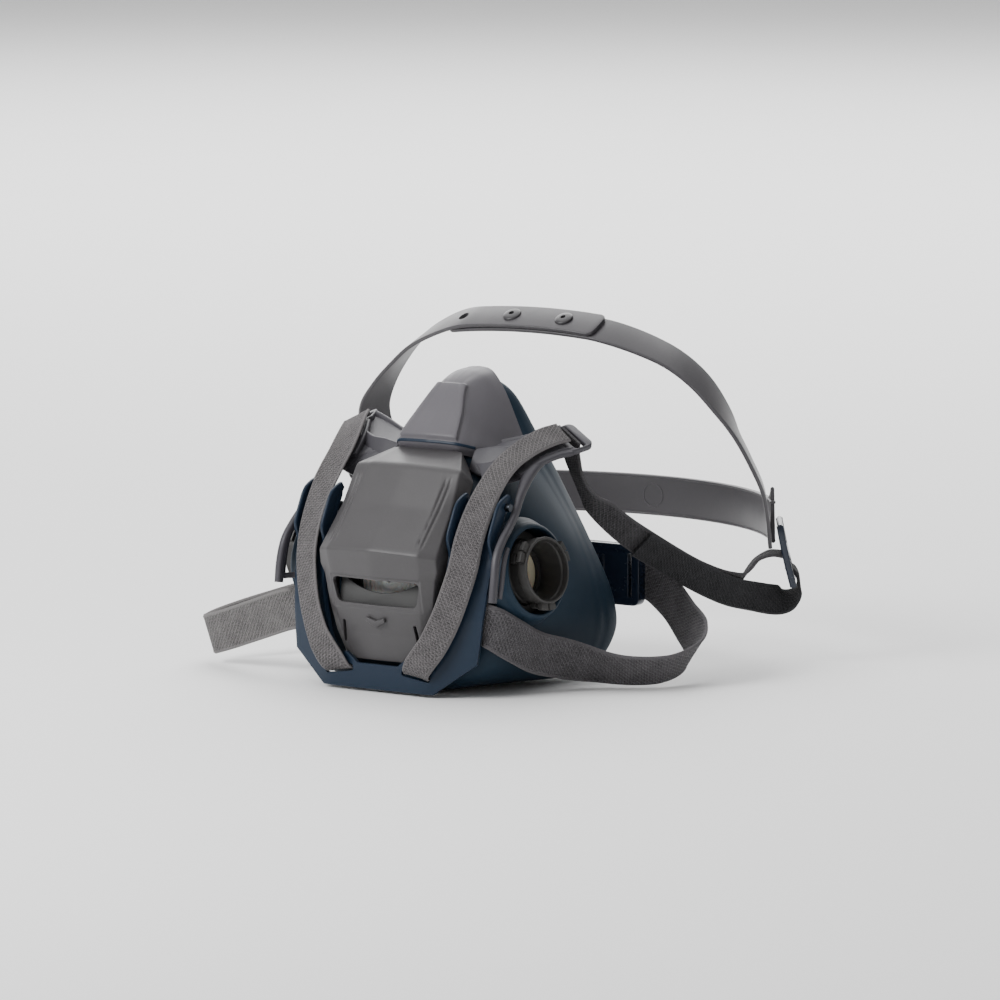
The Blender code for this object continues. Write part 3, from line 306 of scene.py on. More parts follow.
@dataclass(frozen=True)
class Webbing:
    """Woven elastic webbing on UV metres: rib and twill bump, heathered yarns, paler edge cords."""

    name: str
    colour: Colour
    half_width: float
    heather: float = 0.72
    pick: float = 0.00105
    edge: float = 1.35

    def material(self) -> bpy.types.Material:
        """Build the material; U runs along the strap and V across it, both in metres."""
        paint = Paint(self.name)
        place = paint.coordinates("UV")
        along, across, _ = paint.axes(place)
        turn = 2 * math.pi / self.pick
        warp = (across * (turn * 1.1)).sine()
        pick = (along * turn + warp * 0.9).sine()
        twill = (along * (turn * 0.5) + across * (turn * 0.55)).sine()
        weave = (warp * pick) * 0.30 + twill * 0.16 + pick * 0.10 + 0.5
        yarn = paint.noise(place, 1500.0, 2.0, 0.6).smooth(0.38, 0.62)
        patch = paint.noise(place, 160.0, 3.0)
        tone = (yarn * 0.34 + weave * 0.72 + (patch - 0.5) * 0.5 - 0.05).clamped()
        body = paint.mix(tone, shade(self.colour, 1 - self.heather), shade(self.colour, 1 + self.heather))
        rim = abs(across).smooth(self.half_width * 0.80, self.half_width * 0.90)
        paint.drive("Base Color", paint.mix(rim * 0.75, body, shade(self.colour, self.edge)))
        paint.drive("Roughness", (1.0 - weave * 0.16).clamped())
        paint.drive("Specular IOR Level", 0.2)
        paint.drive("Sheen Weight", 0.06)
        paint.drive("Sheen Roughness", 0.4)
        cord = (across * (turn * 0.5)).sine() * 0.5 + 0.5
        paint.bump(weave * (1.0 - rim) + cord * rim, 0.00045)
        return paint.made


@dataclass(frozen=True)
class BrushedPin:
    """Plain turned steel with fine rings."""

    name: str = "dark_steel"
    colour: Colour = (0.05, 0.055, 0.065)

    def material(self) -> bpy.types.Material:
        """Build the material."""
        paint = Paint(self.name)
        place = paint.coordinates()
        streak = paint.noise(place, 1400.0, 2.0)
        paint.drive("Base Color", paint.mix(streak, shade(self.colour, 0.8), self.colour))
        paint.drive("Metallic", 1.0)
        paint.drive("Roughness", (streak * 0.2 + 0.22).clamped())
        paint.bump(streak, 0.00001)
        return paint.made


@dataclass(frozen=True)
class ThinRubber:
    """Pale valve rubber with a faint talc bloom."""

    name: str
    colour: Colour

    def material(self) -> bpy.types.Material:
        """Build the material."""
        paint = Paint(self.name)
        place = paint.coordinates()
        talc = paint.noise(place, 320.0, 4.0, 0.65)
        paint.drive("Base Color", paint.mix(talc, shade(self.colour, 0.82), self.colour))
        paint.drive("Roughness", (talc * 0.2 + 0.42).clamped())
        paint.drive("Subsurface Weight", 0.15)
        paint.drive("Subsurface Scale", 0.002)
        paint.bump(talc, 0.00002)
        return paint.made


class Finishes:
    """Every material of the respirator, made once."""

    def __init__(self) -> None:
        """Build the materials."""
        self.seal = Silicone("slate_silicone", (0.0095, 0.0235, 0.0410)).material()
        self.latch = MouldedPlastic("slate_plastic", (0.0088, 0.0190, 0.0370), 0.38, gloss=0.25).material()
        self.frame = MouldedPlastic("warm_grey_plastic", (0.104, 0.099, 0.110), 0.42, gloss=0.3).material()
        self.arm = MouldedPlastic("arm_grey_plastic", (0.052, 0.050, 0.058), 0.42, gloss=0.3).material()
        self.cover = MouldedPlastic("light_grey_plastic", (0.058, 0.0555, 0.058), 0.42, gloss=0.35).material()
        self.port = MouldedPlastic("port_grey_plastic", (0.036, 0.035, 0.034), 0.42, gloss=0.3).material()
        self.adapter = MouldedPlastic("inner_grey_plastic", (0.030, 0.030, 0.030), 0.5).material()
        self.cradle = MouldedPlastic("cradle_plastic", (0.058, 0.055, 0.060), 0.38, gloss=0.35,
                                     clouding=0.09).material()
        self.snap = MouldedPlastic("snap_plastic", (0.045, 0.043, 0.046), 0.34).material()
        self.buckle = MouldedPlastic("navy_plastic", (0.009, 0.015, 0.029), 0.26, coat=0.2).material()
        self.front_web = Webbing("grey_webbing", (0.105, 0.099, 0.101), 6.0e-3).material()
        self.rear_web = Webbing("charcoal_webbing", (0.052, 0.050, 0.053), 6.0e-3, edge=1.3).material()
        self.tail_web = Webbing("dark_webbing", (0.027, 0.027, 0.029), 6.0e-3, pick=0.0009, edge=1.25).material()
        self.neck_web = Webbing("neck_webbing", (0.088, 0.084, 0.089), 8.15e-3, edge=1.25).material()
        # Lighter copy of the neck webbing for the far half of the neck strap: painted light, not a different webbing.
        self.far_web = Webbing("neck_webbing_light", (0.125, 0.120, 0.119), 8.15e-3).material()
        self.exhale = ThinRubber("white_valve_rubber", (0.42, 0.42, 0.41)).material()
        self.inhale = ThinRubber("cream_valve_rubber", (0.62, 0.58, 0.42)).material()
        self.pin = BrushedPin().material()


# ---------------------------------------------------------------------------- surface tools

def unit(vector: Array) -> Array:
    """Scale vectors on the last axis to length one."""
    vector = np.asarray(vector, float)
    return vector / np.linalg.norm(vector, axis=-1, keepdims=True)


def spline(points: Array, per_span: int) -> Array:
    """Smooth curve through points: each span is the Catmull-Rom cubic of its four neighbours.

    Args:
        points: control values, one per row.
        per_span: samples in each span.

    Returns:
        The samples, ending on the last control value.
    """
    points = np.asarray(points, float)
    padded = np.concatenate([2 * points[:1] - points[1:2], points, 2 * points[-1:] - points[-2:-1]])
    shape = (1, per_span) + (1,) * (points.ndim - 1)
    t = np.linspace(0, 1, per_span, endpoint=False).reshape(shape)
    a, b, c, d = (padded[start:len(padded) - 3 + start, None] for start in range(4))
    curve = 0.5 * (2 * b + (c - a) * t + (2 * a - 5 * b + 4 * c - d) * t ** 2 + (3 * b - a - 3 * c + d) * t ** 3)
    return np.concatenate([curve.reshape((-1,) + points.shape[1:]), points[-1:]])


def resample(points: Array, count: int, axis: int = 0) -> Array:
    """Straight-line resampling of a grid along one axis to a number of even steps of its index."""
    points = np.moveaxis(np.asarray(points, float), axis, 0)
    place = np.linspace(0, len(points) - 1, count)
    low = np.minimum(place.astype(int), len(points) - 2)
    part = (place - low).reshape((-1,) + (1,) * (points.ndim - 1))
    return np.moveaxis(points[low] * (1 - part) + points[low + 1] * part, 0, axis)


def soften(points: Array, passes: int, axis: int = 0) -> Array:
    """Round the creases of a dense grid: repeated quarter-half-quarter averages along one axis."""
    points = np.moveaxis(np.array(points, float), axis, 0)
    for _ in range(passes):
        before, after = np.roll(points, 1, 0), np.roll(points, -1, 0)
        mean = 0.25 * before + 0.5 * points + 0.25 * after
        mean[0], mean[-1] = points[0], points[-1]
        points = mean
    return np.moveaxis(points, 0, axis)


def step(value: Array, low: float, high: float) -> Array:
    """Smoothstep from 0 at low to 1 at high."""
    t = np.clip((value - low) / (high - low), 0, 1)
    return t * t * (3 - 2 * t)


def grid_normals(points: Array, wrap_columns: bool = False) -> Array:
    """Unit normals of a grid: the cross product of its two directions of travel."""
    down = np.gradient(points, axis=0)
    if wrap_columns:
        across = (np.roll(points, -1, 1) - np.roll(points, 1, 1)) / 2
    else:
        across = np.gradient(points, axis=1)
    cross = np.cross(across, down)
    return cross / np.maximum(np.linalg.norm(cross, axis=-1, keepdims=True), 1e-9)


def grid_faces(rows: int, columns: int, wrap: bool = False, keep: Optional[Array] = None) -> Array:
    """Quads of a grid, column after column, with the last column joined to the first if wrapped."""
    width = columns if wrap else columns - 1
    r, c = np.meshgrid(np.arange(rows - 1), np.arange(width), indexing="ij")
    following = (c + 1) % columns
    quads = np.stack([r * columns + c, r * columns + following, (r + 1) * columns + following,
                      (r + 1) * columns + c], axis=-1)
    return quads[keep] if keep is not None else quads.reshape(-1, 4)


def make_object(name: str, points: Array, faces: Iterable[Sequence[int]], uv: Optional[Array] = None,
                clean: bool = False) -> bpy.types.Object:
    """Put a mesh in the scene.

    Args:
        name: object name.
        points: corners in the mask's millimetres.
        faces: corner numbers of each face.
        uv: one UV pair per corner point, in metres.
        clean: drop corners no face uses, merge doubles and turn the faces outwards.

    Returns:
        The object, at the origin.
    """
    mesh = bpy.data.meshes.new(name)
    faces = [list(map(int, face)) for face in faces]
    mesh.from_pydata(LAYOUT.metres(points).reshape(-1, 3).tolist(), [], faces)
    if uv is not None:
        corners = np.zeros(len(mesh.loops), np.int32)
        mesh.loops.foreach_get("vertex_index", corners)
        layer = mesh.uv_layers.new(name="UVMap")
        layer.data.foreach_set("uv", uv.reshape(-1, 2)[corners].astype(np.float32).ravel())
    made = bpy.data.objects.new(name, mesh)
    bpy.context.scene.collection.objects.link(made)
    if clean:
        tidy(made)
    return made


def tidy(item: bpy.types.Object, merge: bool = True) -> None:
    """Turn faces outwards, after merging doubles and dropping loose corners if asked."""
    shape = bmesh.new()
    shape.from_mesh(item.data)
    if merge:
        bmesh.ops.remove_doubles(shape, verts=shape.verts, dist=MERGE_REACH)
        bmesh.ops.delete(shape, geom=[v for v in shape.verts if not v.link_faces], context="VERTS")
    bmesh.ops.recalc_face_normals(shape, faces=shape.faces)
    shape.to_mesh(item.data)
    shape.free()


def turn_forward(item: bpy.types.Object) -> None:
    """Turn an open surface over if most of it faces the back of the head."""
    if sum(polygon.normal.y for polygon in item.data.polygons) > 0:
        item.data.flip_normals()


def settle(item: bpy.types.Object, material: bpy.types.Material, sharp: float = 42.0) -> bpy.types.Object:
    """Apply an object's modifiers, give it its material and shade it smooth but for sharp edges."""
    bpy.context.view_layer.update()
    shaped = item.evaluated_get(bpy.context.evaluated_depsgraph_get())
    mesh = bpy.data.meshes.new_from_object(shaped)
    item.modifiers.clear()
    item.data = mesh
    mesh.materials.clear()
    mesh.materials.append(material)
    mesh.shade_smooth()
    mesh.set_sharp_from_angle(angle=math.radians(sharp))
    return item


def thicken(item: bpy.types.Object, thickness: float, offset: float = -1.0) -> None:
    """Give an open surface a wall, in millimetres."""
    wall = item.modifiers.new("wall", "SOLIDIFY")
    wall.thickness = thickness / 1000
    wall.offset = offset
    wall.use_even_offset = True


def round_edges(item: bpy.types.Object, width: float, segments: int = 3, angle: float = 40.0) -> None:
    """Round the edges sharper than an angle, in millimetres."""
    bevel = item.modifiers.new("rounding", "BEVEL")
    bevel.width = width / 1000
    bevel.segments = segments
    bevel.limit_method = "ANGLE"
    bevel.angle_limit = math.radians(angle)
    bevel.harden_normals = False


def cut(item: bpy.types.Object, tool: bpy.types.Object) -> None:
    """Cut a tool out of an object at once, and delete the tool."""
    modifier = item.modifiers.new("cut", "BOOLEAN")
    modifier.operation = "DIFFERENCE"
    modifier.object = tool
    modifier.solver = "EXACT"
    bpy.context.view_layer.update()
    mesh = bpy.data.meshes.new_from_object(item.evaluated_get(bpy.context.evaluated_depsgraph_get()))
    item.modifiers.clear()
    item.data = mesh
    bpy.data.objects.remove(tool)


def join(name: str, items: Sequence[bpy.types.Object]) -> bpy.types.Object:
    """Join objects into the first one, under a new name."""
    with bpy.context.temp_override(active_object=items[0], selected_editable_objects=list(items),
                                   selected_objects=list(items)):
        bpy.ops.object.join()
    items[0].name = name
    items[0].data.name = name
    return items[0]


def rounded_profile(width: float, height: float, radius: float, steps: int = 5) -> Array:
    """Closed rounded rectangle, anticlockwise: four quarter circles joined by straight sides."""
    radius = min(radius, width / 2 - 1e-3, height / 2 - 1e-3)
    turn = np.linspace(0, math.pi / 2, steps)
    corners = []
    for quarter, (sx, sy) in enumerate(((1, 1), (-1, 1), (-1, -1), (1, -1))):
        angle = turn + quarter * math.pi / 2
        centre = np.array((sx * (width / 2 - radius), sy * (height / 2 - radius)))
        corners.append(centre + radius * np.stack([np.cos(angle), np.sin(angle)], axis=1))
    return np.concatenate(corners)


def webbing_profile(width: float, thickness: float) -> Array:
    """Closed strap section: flat faces with slightly swollen edge cords."""
    t = np.linspace(-1, 1, 21)
    swell = 1 + 0.28 * np.exp(-((np.abs(t) - 0.90) / 0.07) ** 2) - 0.9 * np.clip(np.abs(t) - 0.97, 0, 1) / 0.03
    top = np.stack([t * width / 2, thickness / 2 * np.clip(swell, 0.15, 2)], axis=1)
    bottom = top[::-1] * (1, -1)
    return np.concatenate([bottom[::-1], top[::-1]])


def sweep(name: str, centres: Array, acrosses: Array, profile: Array,
          scale: Optional[Array] = None) -> bpy.types.Object:
    """Carry a closed profile along a path.

    The profile's first number goes along the across direction, its second along the normal,
    which is the cross product of travel and across. UV is (distance travelled, place across).

    Args:
        name: object name.
        centres: path points in millimetres.
        acrosses: direction of the profile's first axis at each point.
        profile: closed outline, anticlockwise.
        scale: optional pair of factors for the profile's two axes at each point.

    Returns:
        The closed object.
    """
    centres = np.asarray(centres, float)
    travel = unit(np.gradient(centres, axis=0))
    across = unit(acrosses)
    across = unit(across - travel * np.sum(across * travel, axis=1, keepdims=True))
    normal = np.cross(travel, across)
    factors = np.ones((len(centres), 2)) if scale is None else np.asarray(scale, float)
    outline = profile[None] * factors[:, None]
    rings = centres[:, None] + outline[..., :1] * across[:, None] + outline[..., 1:] * normal[:, None]
    distance = np.concatenate([[0], np.cumsum(np.linalg.norm(np.diff(centres, axis=0), axis=1))])
    uv = np.stack([np.broadcast_to(distance[:, None], rings.shape[:2]),
                   np.broadcast_to(profile[None, :, 0], rings.shape[:2])], axis=-1) / 1000
    count = len(profile)
    faces = grid_faces(len(rings), count, wrap=True).tolist()
    faces.append(list(range(count - 1, -1, -1)))
    faces.append([(len(rings) - 1) * count + index for index in range(count)])
    made = make_object(name, rings, faces, uv)
    tidy(made, merge=False)
    return made


def strap(name: str, route: Sequence[Tuple[Point, Point]], width: float, thickness: float, side: Side,
          per_span: int = 10) -> bpy.types.Object:
    """Flat webbing along a route of (centre, across) pairs."""
    mirror = np.array((side.value, 1, 1))
    centres = spline(np.array([centre for centre, _ in route]), per_span) * mirror
    across = spline(unit(np.array([direction for _, direction in route])), per_span) * mirror
    return sweep(name, centres, across, webbing_profile(width, thickness))


def bar(name: str, start: Point, end: Point, across: Point, width: float, height: float,
        radius: float = 0.6) -> bpy.types.Object:
    """Straight rounded bar between two points."""
    centres = np.linspace(np.array(start, float), np.array(end, float), 5)
    return sweep(name, centres, np.broadcast_to(np.array(across, float), centres.shape),
                 rounded_profile(width, height, radius))


def lathe(name: str, profile: Array, centre: Array, axis: Array, steps: int = 96) -> bpy.types.Object:
    """Turn a closed profile of (radius, height) pairs about an axis through a centre."""
    profile = np.asarray(profile, float)
    axis = unit(axis)
    first = unit(np.cross(axis, (0.0, 0.2, 1.0)))
    second = np.cross(axis, first)
    angle = np.linspace(0, 2 * math.pi, steps, endpoint=False)
    ring = np.cos(angle)[:, None] * first + np.sin(angle)[:, None] * second
    points = np.asarray(centre) + profile[:, 0, None, None] * ring + profile[:, 1, None, None] * axis
    points = np.concatenate([points, points[:1]])
    faces = grid_faces(len(points), steps, wrap=True)
    return make_object(name, points, faces, clean=True)


def dense_profile(corners: Sequence[Tuple[float, float]], radius: float = 0.25) -> Array:
    """Closed lathe profile with its corners cut round: each corner becomes a short arc."""
    corners = np.array(corners, float)
    before, after = np.roll(corners, 1, 0), np.roll(corners, -1, 0)
    into, out = before - corners, after - corners
    reach = np.minimum(radius, 0.45 * np.minimum(np.linalg.norm(into, axis=1), np.linalg.norm(out, axis=1)))
    start = corners + unit(into) * reach[:, None]
    end = corners + unit(out) * reach[:, None]
    t = np.linspace(0, 1, 4)[None, :, None]
    arc = start[:, None] * (1 - t) ** 2 + 2 * corners[:, None] * t * (1 - t) + end[:, None] * t ** 2
    return arc.reshape(-1, 2)


def prism(name: str, centre: Array, across: Array, down: Array, outline: Array, depth: float) -> bpy.types.Object:
    """Closed prism of one outline, half its depth to each side of the outline's plane."""
    across, down = unit(across), unit(down)
    normal = np.cross(across, down)
    flat = np.asarray(centre, float) + outline[:, :1] * across + outline[:, 1:] * down
    count = len(outline)
    points = np.concatenate([flat - normal * depth / 2, flat + normal * depth / 2])
    faces = grid_faces(2, count, wrap=True).tolist()
    faces += [list(range(count))[::-1], [count + index for index in range(count)]]
    return make_object(name, points, faces, clean=True)


def slab(name: str, centre: Array, across: Array, down: Array, outline: Array, thickness: float,
         edge: float = 0.5, holes: Sequence[Array] = ()) -> bpy.types.Object:
    """Flat plate of a closed outline in its own plane, with rounded edges and holes cut through."""
    made = prism(name, centre, across, down, outline, thickness)
    for number, hole in enumerate(holes):
        cut(made, prism(f"{name}_hole_{number}", centre, across, down, hole, thickness * 3))
    round_edges(made, edge)
    return made


# ---------------------------------------------------------------------------- assembly base

class Assembly:
    """A group of pieces; keeps the finishes and reports each finished piece."""

    def __init__(self, finishes: Finishes) -> None:
        """Keep the materials."""
        self.finishes = finishes

    def hang(self, item: bpy.types.Object, body: Body, *nodes: str) -> bpy.types.Object:
        """Make a finished piece ride on a body and stand for its CAD nodes."""
        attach(item, body.value)
        if nodes:
            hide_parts(*nodes)
        LOG.info("%s: %d faces on %s", item.name, len(item.data.polygons), body.value)
        return item

    def bend(self, item: bpy.types.Object, first: Body, second: Body, start: Point, end: Point,
             *nodes: str) -> bpy.types.Object:
        """Bake a finished piece where it stands, log the two bodies it spans and stand for its CAD nodes."""
        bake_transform(item)
        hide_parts(*nodes)
        LOG.info("%s: %d faces between %s and %s", item.name, len(item.data.polygons), first.value, second.value)
        return item


def both_halves(sections: Sequence[Sequence[Point]], per_span: int) -> Array:
    """Turn half sections, listed from the middle out, into full rows of smooth points."""
    half = np.stack([spline(np.array(section, float), per_span) for section in sections])
    other = half[:, :0:-1] * (-1, 1, 1)
    return np.concatenate([other, half], axis=1)


PORT_AXIS = np.array((0.985, -0.084, 0.151))
PORT_CENTRE = np.array((58.0, -0.2, 47.9))


def port_frame(side: Side) -> Tuple[Array, Array]:
    """Centre of the rim and outward axis of a filter port."""
    mirror = np.array((side.value, 1, 1))
    return PORT_CENTRE * mirror, unit(PORT_AXIS) * mirror


# ---------------------------------------------------------------------------- face seal

@dataclass
class FaceSeal:
    """Soft silicone body: a lofted shell with a rolled lip and a hole for each port boot."""

    thickness: float = 1.5
    hole_radius: float = 18.2
    sections: Tuple[Tuple[Point, ...], ...] = (
        ((0, -8, 75), (10, -9, 74), (17, -10.5, 71), (22.5, -12.5, 66), (25.5, -15, 57),
         (26.5, -17, 46), (25.5, -19, 33), (22, -20, 22), (13, -21.5, 14), (0, -22, 13)),
        ((0, -0.5, 77), (12, -1, 76), (20.5, -2.5, 73.5), (28.5, -5, 69), (35.5, -8, 59),
         (41, -11.5, 46), (43.5, -14, 30), (39.5, -17, 12), (22, -20, 2.6), (0, -21, 2.2)),
        ((0, 10, 92.5), (12.5, 9.5, 90), (22, 9, 81.5), (34.5, 7, 73.5), (44.5, 4, 61),
         (49, 1, 46), (49, -1, 28), (43.5, -3, 8), (26, -6, 0.9), (0, -8, 0.9)),
        ((0, 27, 111.8), (11.5, 27, 102), (20.8, 27, 89), (34, 28, 76), (45, 30, 58),
         (50, 32, 38), (50.5, 32, 20), (45.5, 26, 3.4), (27, 20, 0.9), (0, 18, 0.8)),
        ((0, 39, 116.6), (11.5, 42, 109.2), (19.5, 46, 94), (29, 51, 74), (39, 56, 51),
         (47, 58.5, 31), (50.5, 55, 16), (46, 44, 3.4), (26, 33, 0.9), (0, 29, 0.9)),
        ((0, 43, 112.4), (8.6, 46, 106), (16, 49.8, 92), (25.2, 55, 72.5), (35, 60.2, 50.5),
         (43, 62.4, 32), (46, 59, 18.5), (41.5, 48, 8.4), (24, 37, 5), (0, 33, 5)),
        ((0, 43.5, 104), (5, 46.5, 99.6), (9.6, 49.5, 87), (17.5, 54.5, 70), (27, 59.5, 50),
         (34.8, 61, 34.5), (37.5, 58, 23), (33.5, 48.5, 14.5), (18.5, 39.5, 11.5), (0, 36, 11.5)),
    )

    def surface(self) -> Array:
        """Outer surface: smooth rows round the face, splined from the front opening to the lip."""
        rows = both_halves(self.sections, 7)
        middle = rows.shape[1] // 2
        rings = np.concatenate([rows[:, middle:], rows[:, 1:middle]], axis=1)
        flow = spline(rings, 10)
        normal = grid_normals(flow, wrap_columns=True)
        along = np.linspace(0, len(self.sections) - 1, len(flow))[:, None]
        bead = 0.55 * np.exp(-((along - 3.62) / 0.05) ** 2) - 0.35 * np.exp(-((along - 3.50) / 0.04) ** 2)
        return flow + normal * bead[..., None] * -1.0

    def build(self, kit: Assembly) -> None:
        """Build the seal with its port holes."""
        flow = self.surface()
        seal = make_object("seal_skin", flow, grid_faces(len(flow), flow.shape[1], wrap=True))
        thicken(seal, self.thickness)
        settle(seal, kit.finishes.seal)
        for side in Side:
            centre, axis = port_frame(side)
            turned = lathe("hole", np.array(((0.01, -23.0), (self.hole_radius, -23.0),
                                             (self.hole_radius, 5.0), (0.01, 5.0))), centre, axis, 96)
            cut(seal, turned)
        settle(seal, kit.finishes.seal, 50)
        kit.hang(seal, Body.MASK, "face_seal")


# ---------------------------------------------------------------------------- nose shell and cover

@dataclass
class NoseShell:
    """Stiff shell over the nose with a raised keystone panel."""

    thickness: float = 1.7
    panel_rise: float = 1.25
    sections: Tuple[Tuple[Point, ...], ...] = (
        ((0, 3.4, 88.8), (7, 3.8, 88.7), (13.5, 4.8, 88.4), (17.5, 8.8, 87.0), (20.9, 12.9, 85.6),
         (23.6, 16.8, 84.4)),
        ((0, 1.5, 94.2), (7, 2, 94.1), (13.5, 3, 93.7), (17.5, 7, 92.2), (20.5, 11.5, 90.6),
         (22.8, 16, 89.4)),
        ((0, 10, 104.2), (5.6, 10.4, 104.1), (10.5, 11, 103.6), (15.6, 14.5, 99.4), (20.2, 18, 94.2),
         (24, 21, 89.6)),
        ((0, 18.3, 113.5), (3.6, 18.5, 113.4), (6.9, 18.9, 112.9), (13.2, 21.6, 107.4), (19.2, 23.8, 99.4),
         (24.4, 25.5, 90.4)),
        ((0, 27.5, 118.3), (4.6, 27.5, 117.8), (8.6, 27.7, 115.6), (14.2, 28.8, 109.4), (19.6, 29.4, 100.8),
         (24.8, 29.6, 90.8)),
        ((0, 37, 119.4), (5, 36.6, 118.8), (9.2, 35.6, 116.4), (14.8, 34.2, 110), (20.2, 33, 101),
         (25.2, 32.2, 91.6)),
    )

    def build(self, kit: Assembly) -> None:
        """Raise the panel by a smooth step inside a keystone outline, then thicken and round."""
        rows = both_halves(self.sections, 14)
        surface = spline(rows, 22)
        lateral = np.abs(np.linspace(-5, 5, surface.shape[1]))[None, :]
        along = np.linspace(-1, 4, len(surface))[:, None]
        side_edge = step(2.06 - lateral, 0.0, 0.16)
        top_edge = step(2.12 - along, 0.0, 0.12)
        low_edge = step(along, 0.02, 0.12)
        panel = side_edge * top_edge * low_edge
        normal = grid_normals(surface)
        normal *= np.sign(normal[len(normal) // 2, normal.shape[1] // 2] @ np.array((0, -1, 0.6)))
        surface = surface + normal * (panel * self.panel_rise - 0.25)[..., None]
        shell = make_object("nose_shell_skin", surface, grid_faces(*surface.shape[:2]))
        thicken(shell, self.thickness, -1.0)
        round_edges(shell, 0.5)
        settle(shell, kit.finishes.frame, 50)
        kit.hang(shell, Body.MASK, "nose_shell")
        line = surface[int(np.argmin(np.abs(along[:, 0] + 0.13)))]
        lateral_line = np.abs(np.linspace(-5, 5, len(line)))
        line = line[lateral_line < 3.3] + (0.0, -0.05, 0.0)
        groove = sweep("nose_groove", line, np.broadcast_to((0.0, 0.3, 0.95), line.shape),
                       rounded_profile(1.15, 0.6, 0.25, 4))
        kit.hang(settle(groove, kit.finishes.latch, 50), Body.MASK)


@dataclass
class ExhalationCover:
    """Front cover: shoulders, brow, a window with a louvre behind it, and a tab into the latch."""

    thickness: float = 1.7
    window_half: float = 19.5
    window: Tuple[float, float] = (33.4, 43.2)
    louvre_centre: Point = (0, -27.7, 36.0)
    louvre_half: float = 19.4
    louvre_lip: float = 1.6
    louvre_curve: float = 0.017
    louvre_drop: float = 6.5
    arrow_centre: Point = (0, -31.55, 27.3)
    arrow: Tuple[Tuple[float, float], ...] = ((0, -2.6), (4.3, -0.4), (4.3, 1.5), (0, 0.1), (-4.3, 1.5), (-4.3, -0.4))
    sections: Tuple[Tuple[Point, ...], ...] = (
        ((0, 3.4, 90.2), (13, 3.2, 90), (16.1, 2.6, 89.6), (17.8, 4.5, 84)),
        ((0, -11.5, 85.6), (17, -11, 85.2), (24.4, -10.2, 84.3), (27.2, -5.5, 79.5)),
        ((0, -22.5, 70), (19.5, -21.5, 70), (25.5, -18, 69.5), (27.4, -13, 67)),
        ((0, -36.4, 55), (21, -34.4, 54), (27.5, -30.7, 53), (27.6, -21, 53)),
        ((0, -35.2, 49.5), (21, -33.2, 48.5), (27.5, -30.0, 47.5), (27.6, -21, 47.5)),
        ((0, -34.2, 44.8), (20.5, -32.5, 44), (25.9, -29.2, 43.5), (26.4, -21.5, 43.5)),
        ((0, -32.5, 33), (20, -31, 33), (24.4, -28.2, 33), (24.9, -23.5, 33)),
        ((0, -29.6, 22), (18.5, -28, 22), (22.5, -26, 22), (23.6, -23.5, 22)),
        ((0, -27.6, 11.5), (13, -27.0, 11.5), (16.5, -26.2, 11.5), (18, -25, 11.5)),
    )

    def surface(self) -> Array:
        """Flat facets between the sections, with every crease rounded."""
        rows = np.array(self.sections, float)
        dense = resample(resample(rows, 24 * 3 + 1, 1), 20 * 8 + 1, 0)
        full = np.concatenate([dense[:, :0:-1] * (-1, 1, 1), dense], axis=1)
        return soften(soften(full, 4, 1), 3, 0)

    def build(self, kit: Assembly) -> None:
        """Build the shell with its creases, cut the window and side slots, and add the inner pieces."""
        surface = self.surface()
        flat_x, height = surface[..., 0], surface[..., 2]
        normal = grid_normals(surface)
        normal *= np.sign(normal[100, 72] @ np.array((0, -1, 0.0)))
        past = np.abs(flat_x) - 0.02 * height
        crease = np.exp(-((past - 18.4) / 0.42) ** 2) + np.exp(-((past - 20.2) / 0.42) ** 2)
        crease *= step(height, 56, 58) * step(82.0 - height, 0, 3.0)
        frame_rim = step(self.window_half + 1.8 - np.abs(flat_x), 0, 0.7) * step(height, 31.6, 32.4) \
            * step(44.6 - height, 0, 0.8)
        surface = surface + normal * (-crease * 0.38 - frame_rim * 0.5)[..., None]
        cover = make_object("cover_skin", surface, grid_faces(*surface.shape[:2]), clean=True)
        turn_forward(cover)
        thicken(cover, self.thickness, -1.0)
        settle(cover, kit.finishes.cover)
        middle = (self.window[0] + self.window[1]) / 2
        outline = rounded_profile(2 * self.window_half, self.window[1] - self.window[0], 2.2, 7)
        outline[:, 0] *= 1 + 0.011 * outline[:, 1]
        cut(cover, prism("window_tool", (0, -30, middle), (1, 0, 0), (0, 0, 1), outline, 20.0))
        for side in (-1, 1):
            cut(cover, prism("cover_slot", (17.0 * side, -27.0, 22.0), (1, 0, 0.1 * side), (-0.1 * side, 0, 1),
                             rounded_profile(1.4, 9.0, 0.65, 5), 9.0))
        round_edges(cover, 0.3, 2, 55)
        settle(cover, kit.finishes.cover, 40)
        kit.hang(cover, Body.MASK, "exhalation_valve_cover")
        self.inner_pieces(kit)

    def inner_pieces(self, kit: Assembly) -> None:
        """Dark curved louvre behind the window, and the raised arrow below it.

        The louvre's upper edge is a parabola, lowest in the middle.
        """
        across = np.linspace(-self.louvre_half, self.louvre_half, 41)
        lip = np.stack([across, self.louvre_lip + self.louvre_curve * across ** 2], axis=1)
        corners = np.array(((-self.louvre_half, -self.louvre_drop), (self.louvre_half, -self.louvre_drop)))
        louvre = slab("inner_louvre", self.louvre_centre, (1, 0, 0), (0, 0.215, 0.977),
                      np.concatenate([lip[::-1], corners]), 1.2, 0.35)
        kit.hang(settle(louvre, kit.finishes.adapter, 40), Body.MASK)
        mark = slab("cover_arrow", self.arrow_centre, (1, 0, 0), (0, -0.255, 0.967), np.array(self.arrow), 1.1, 0.25)
        kit.hang(settle(mark, kit.finishes.cover, 40), Body.MASK)


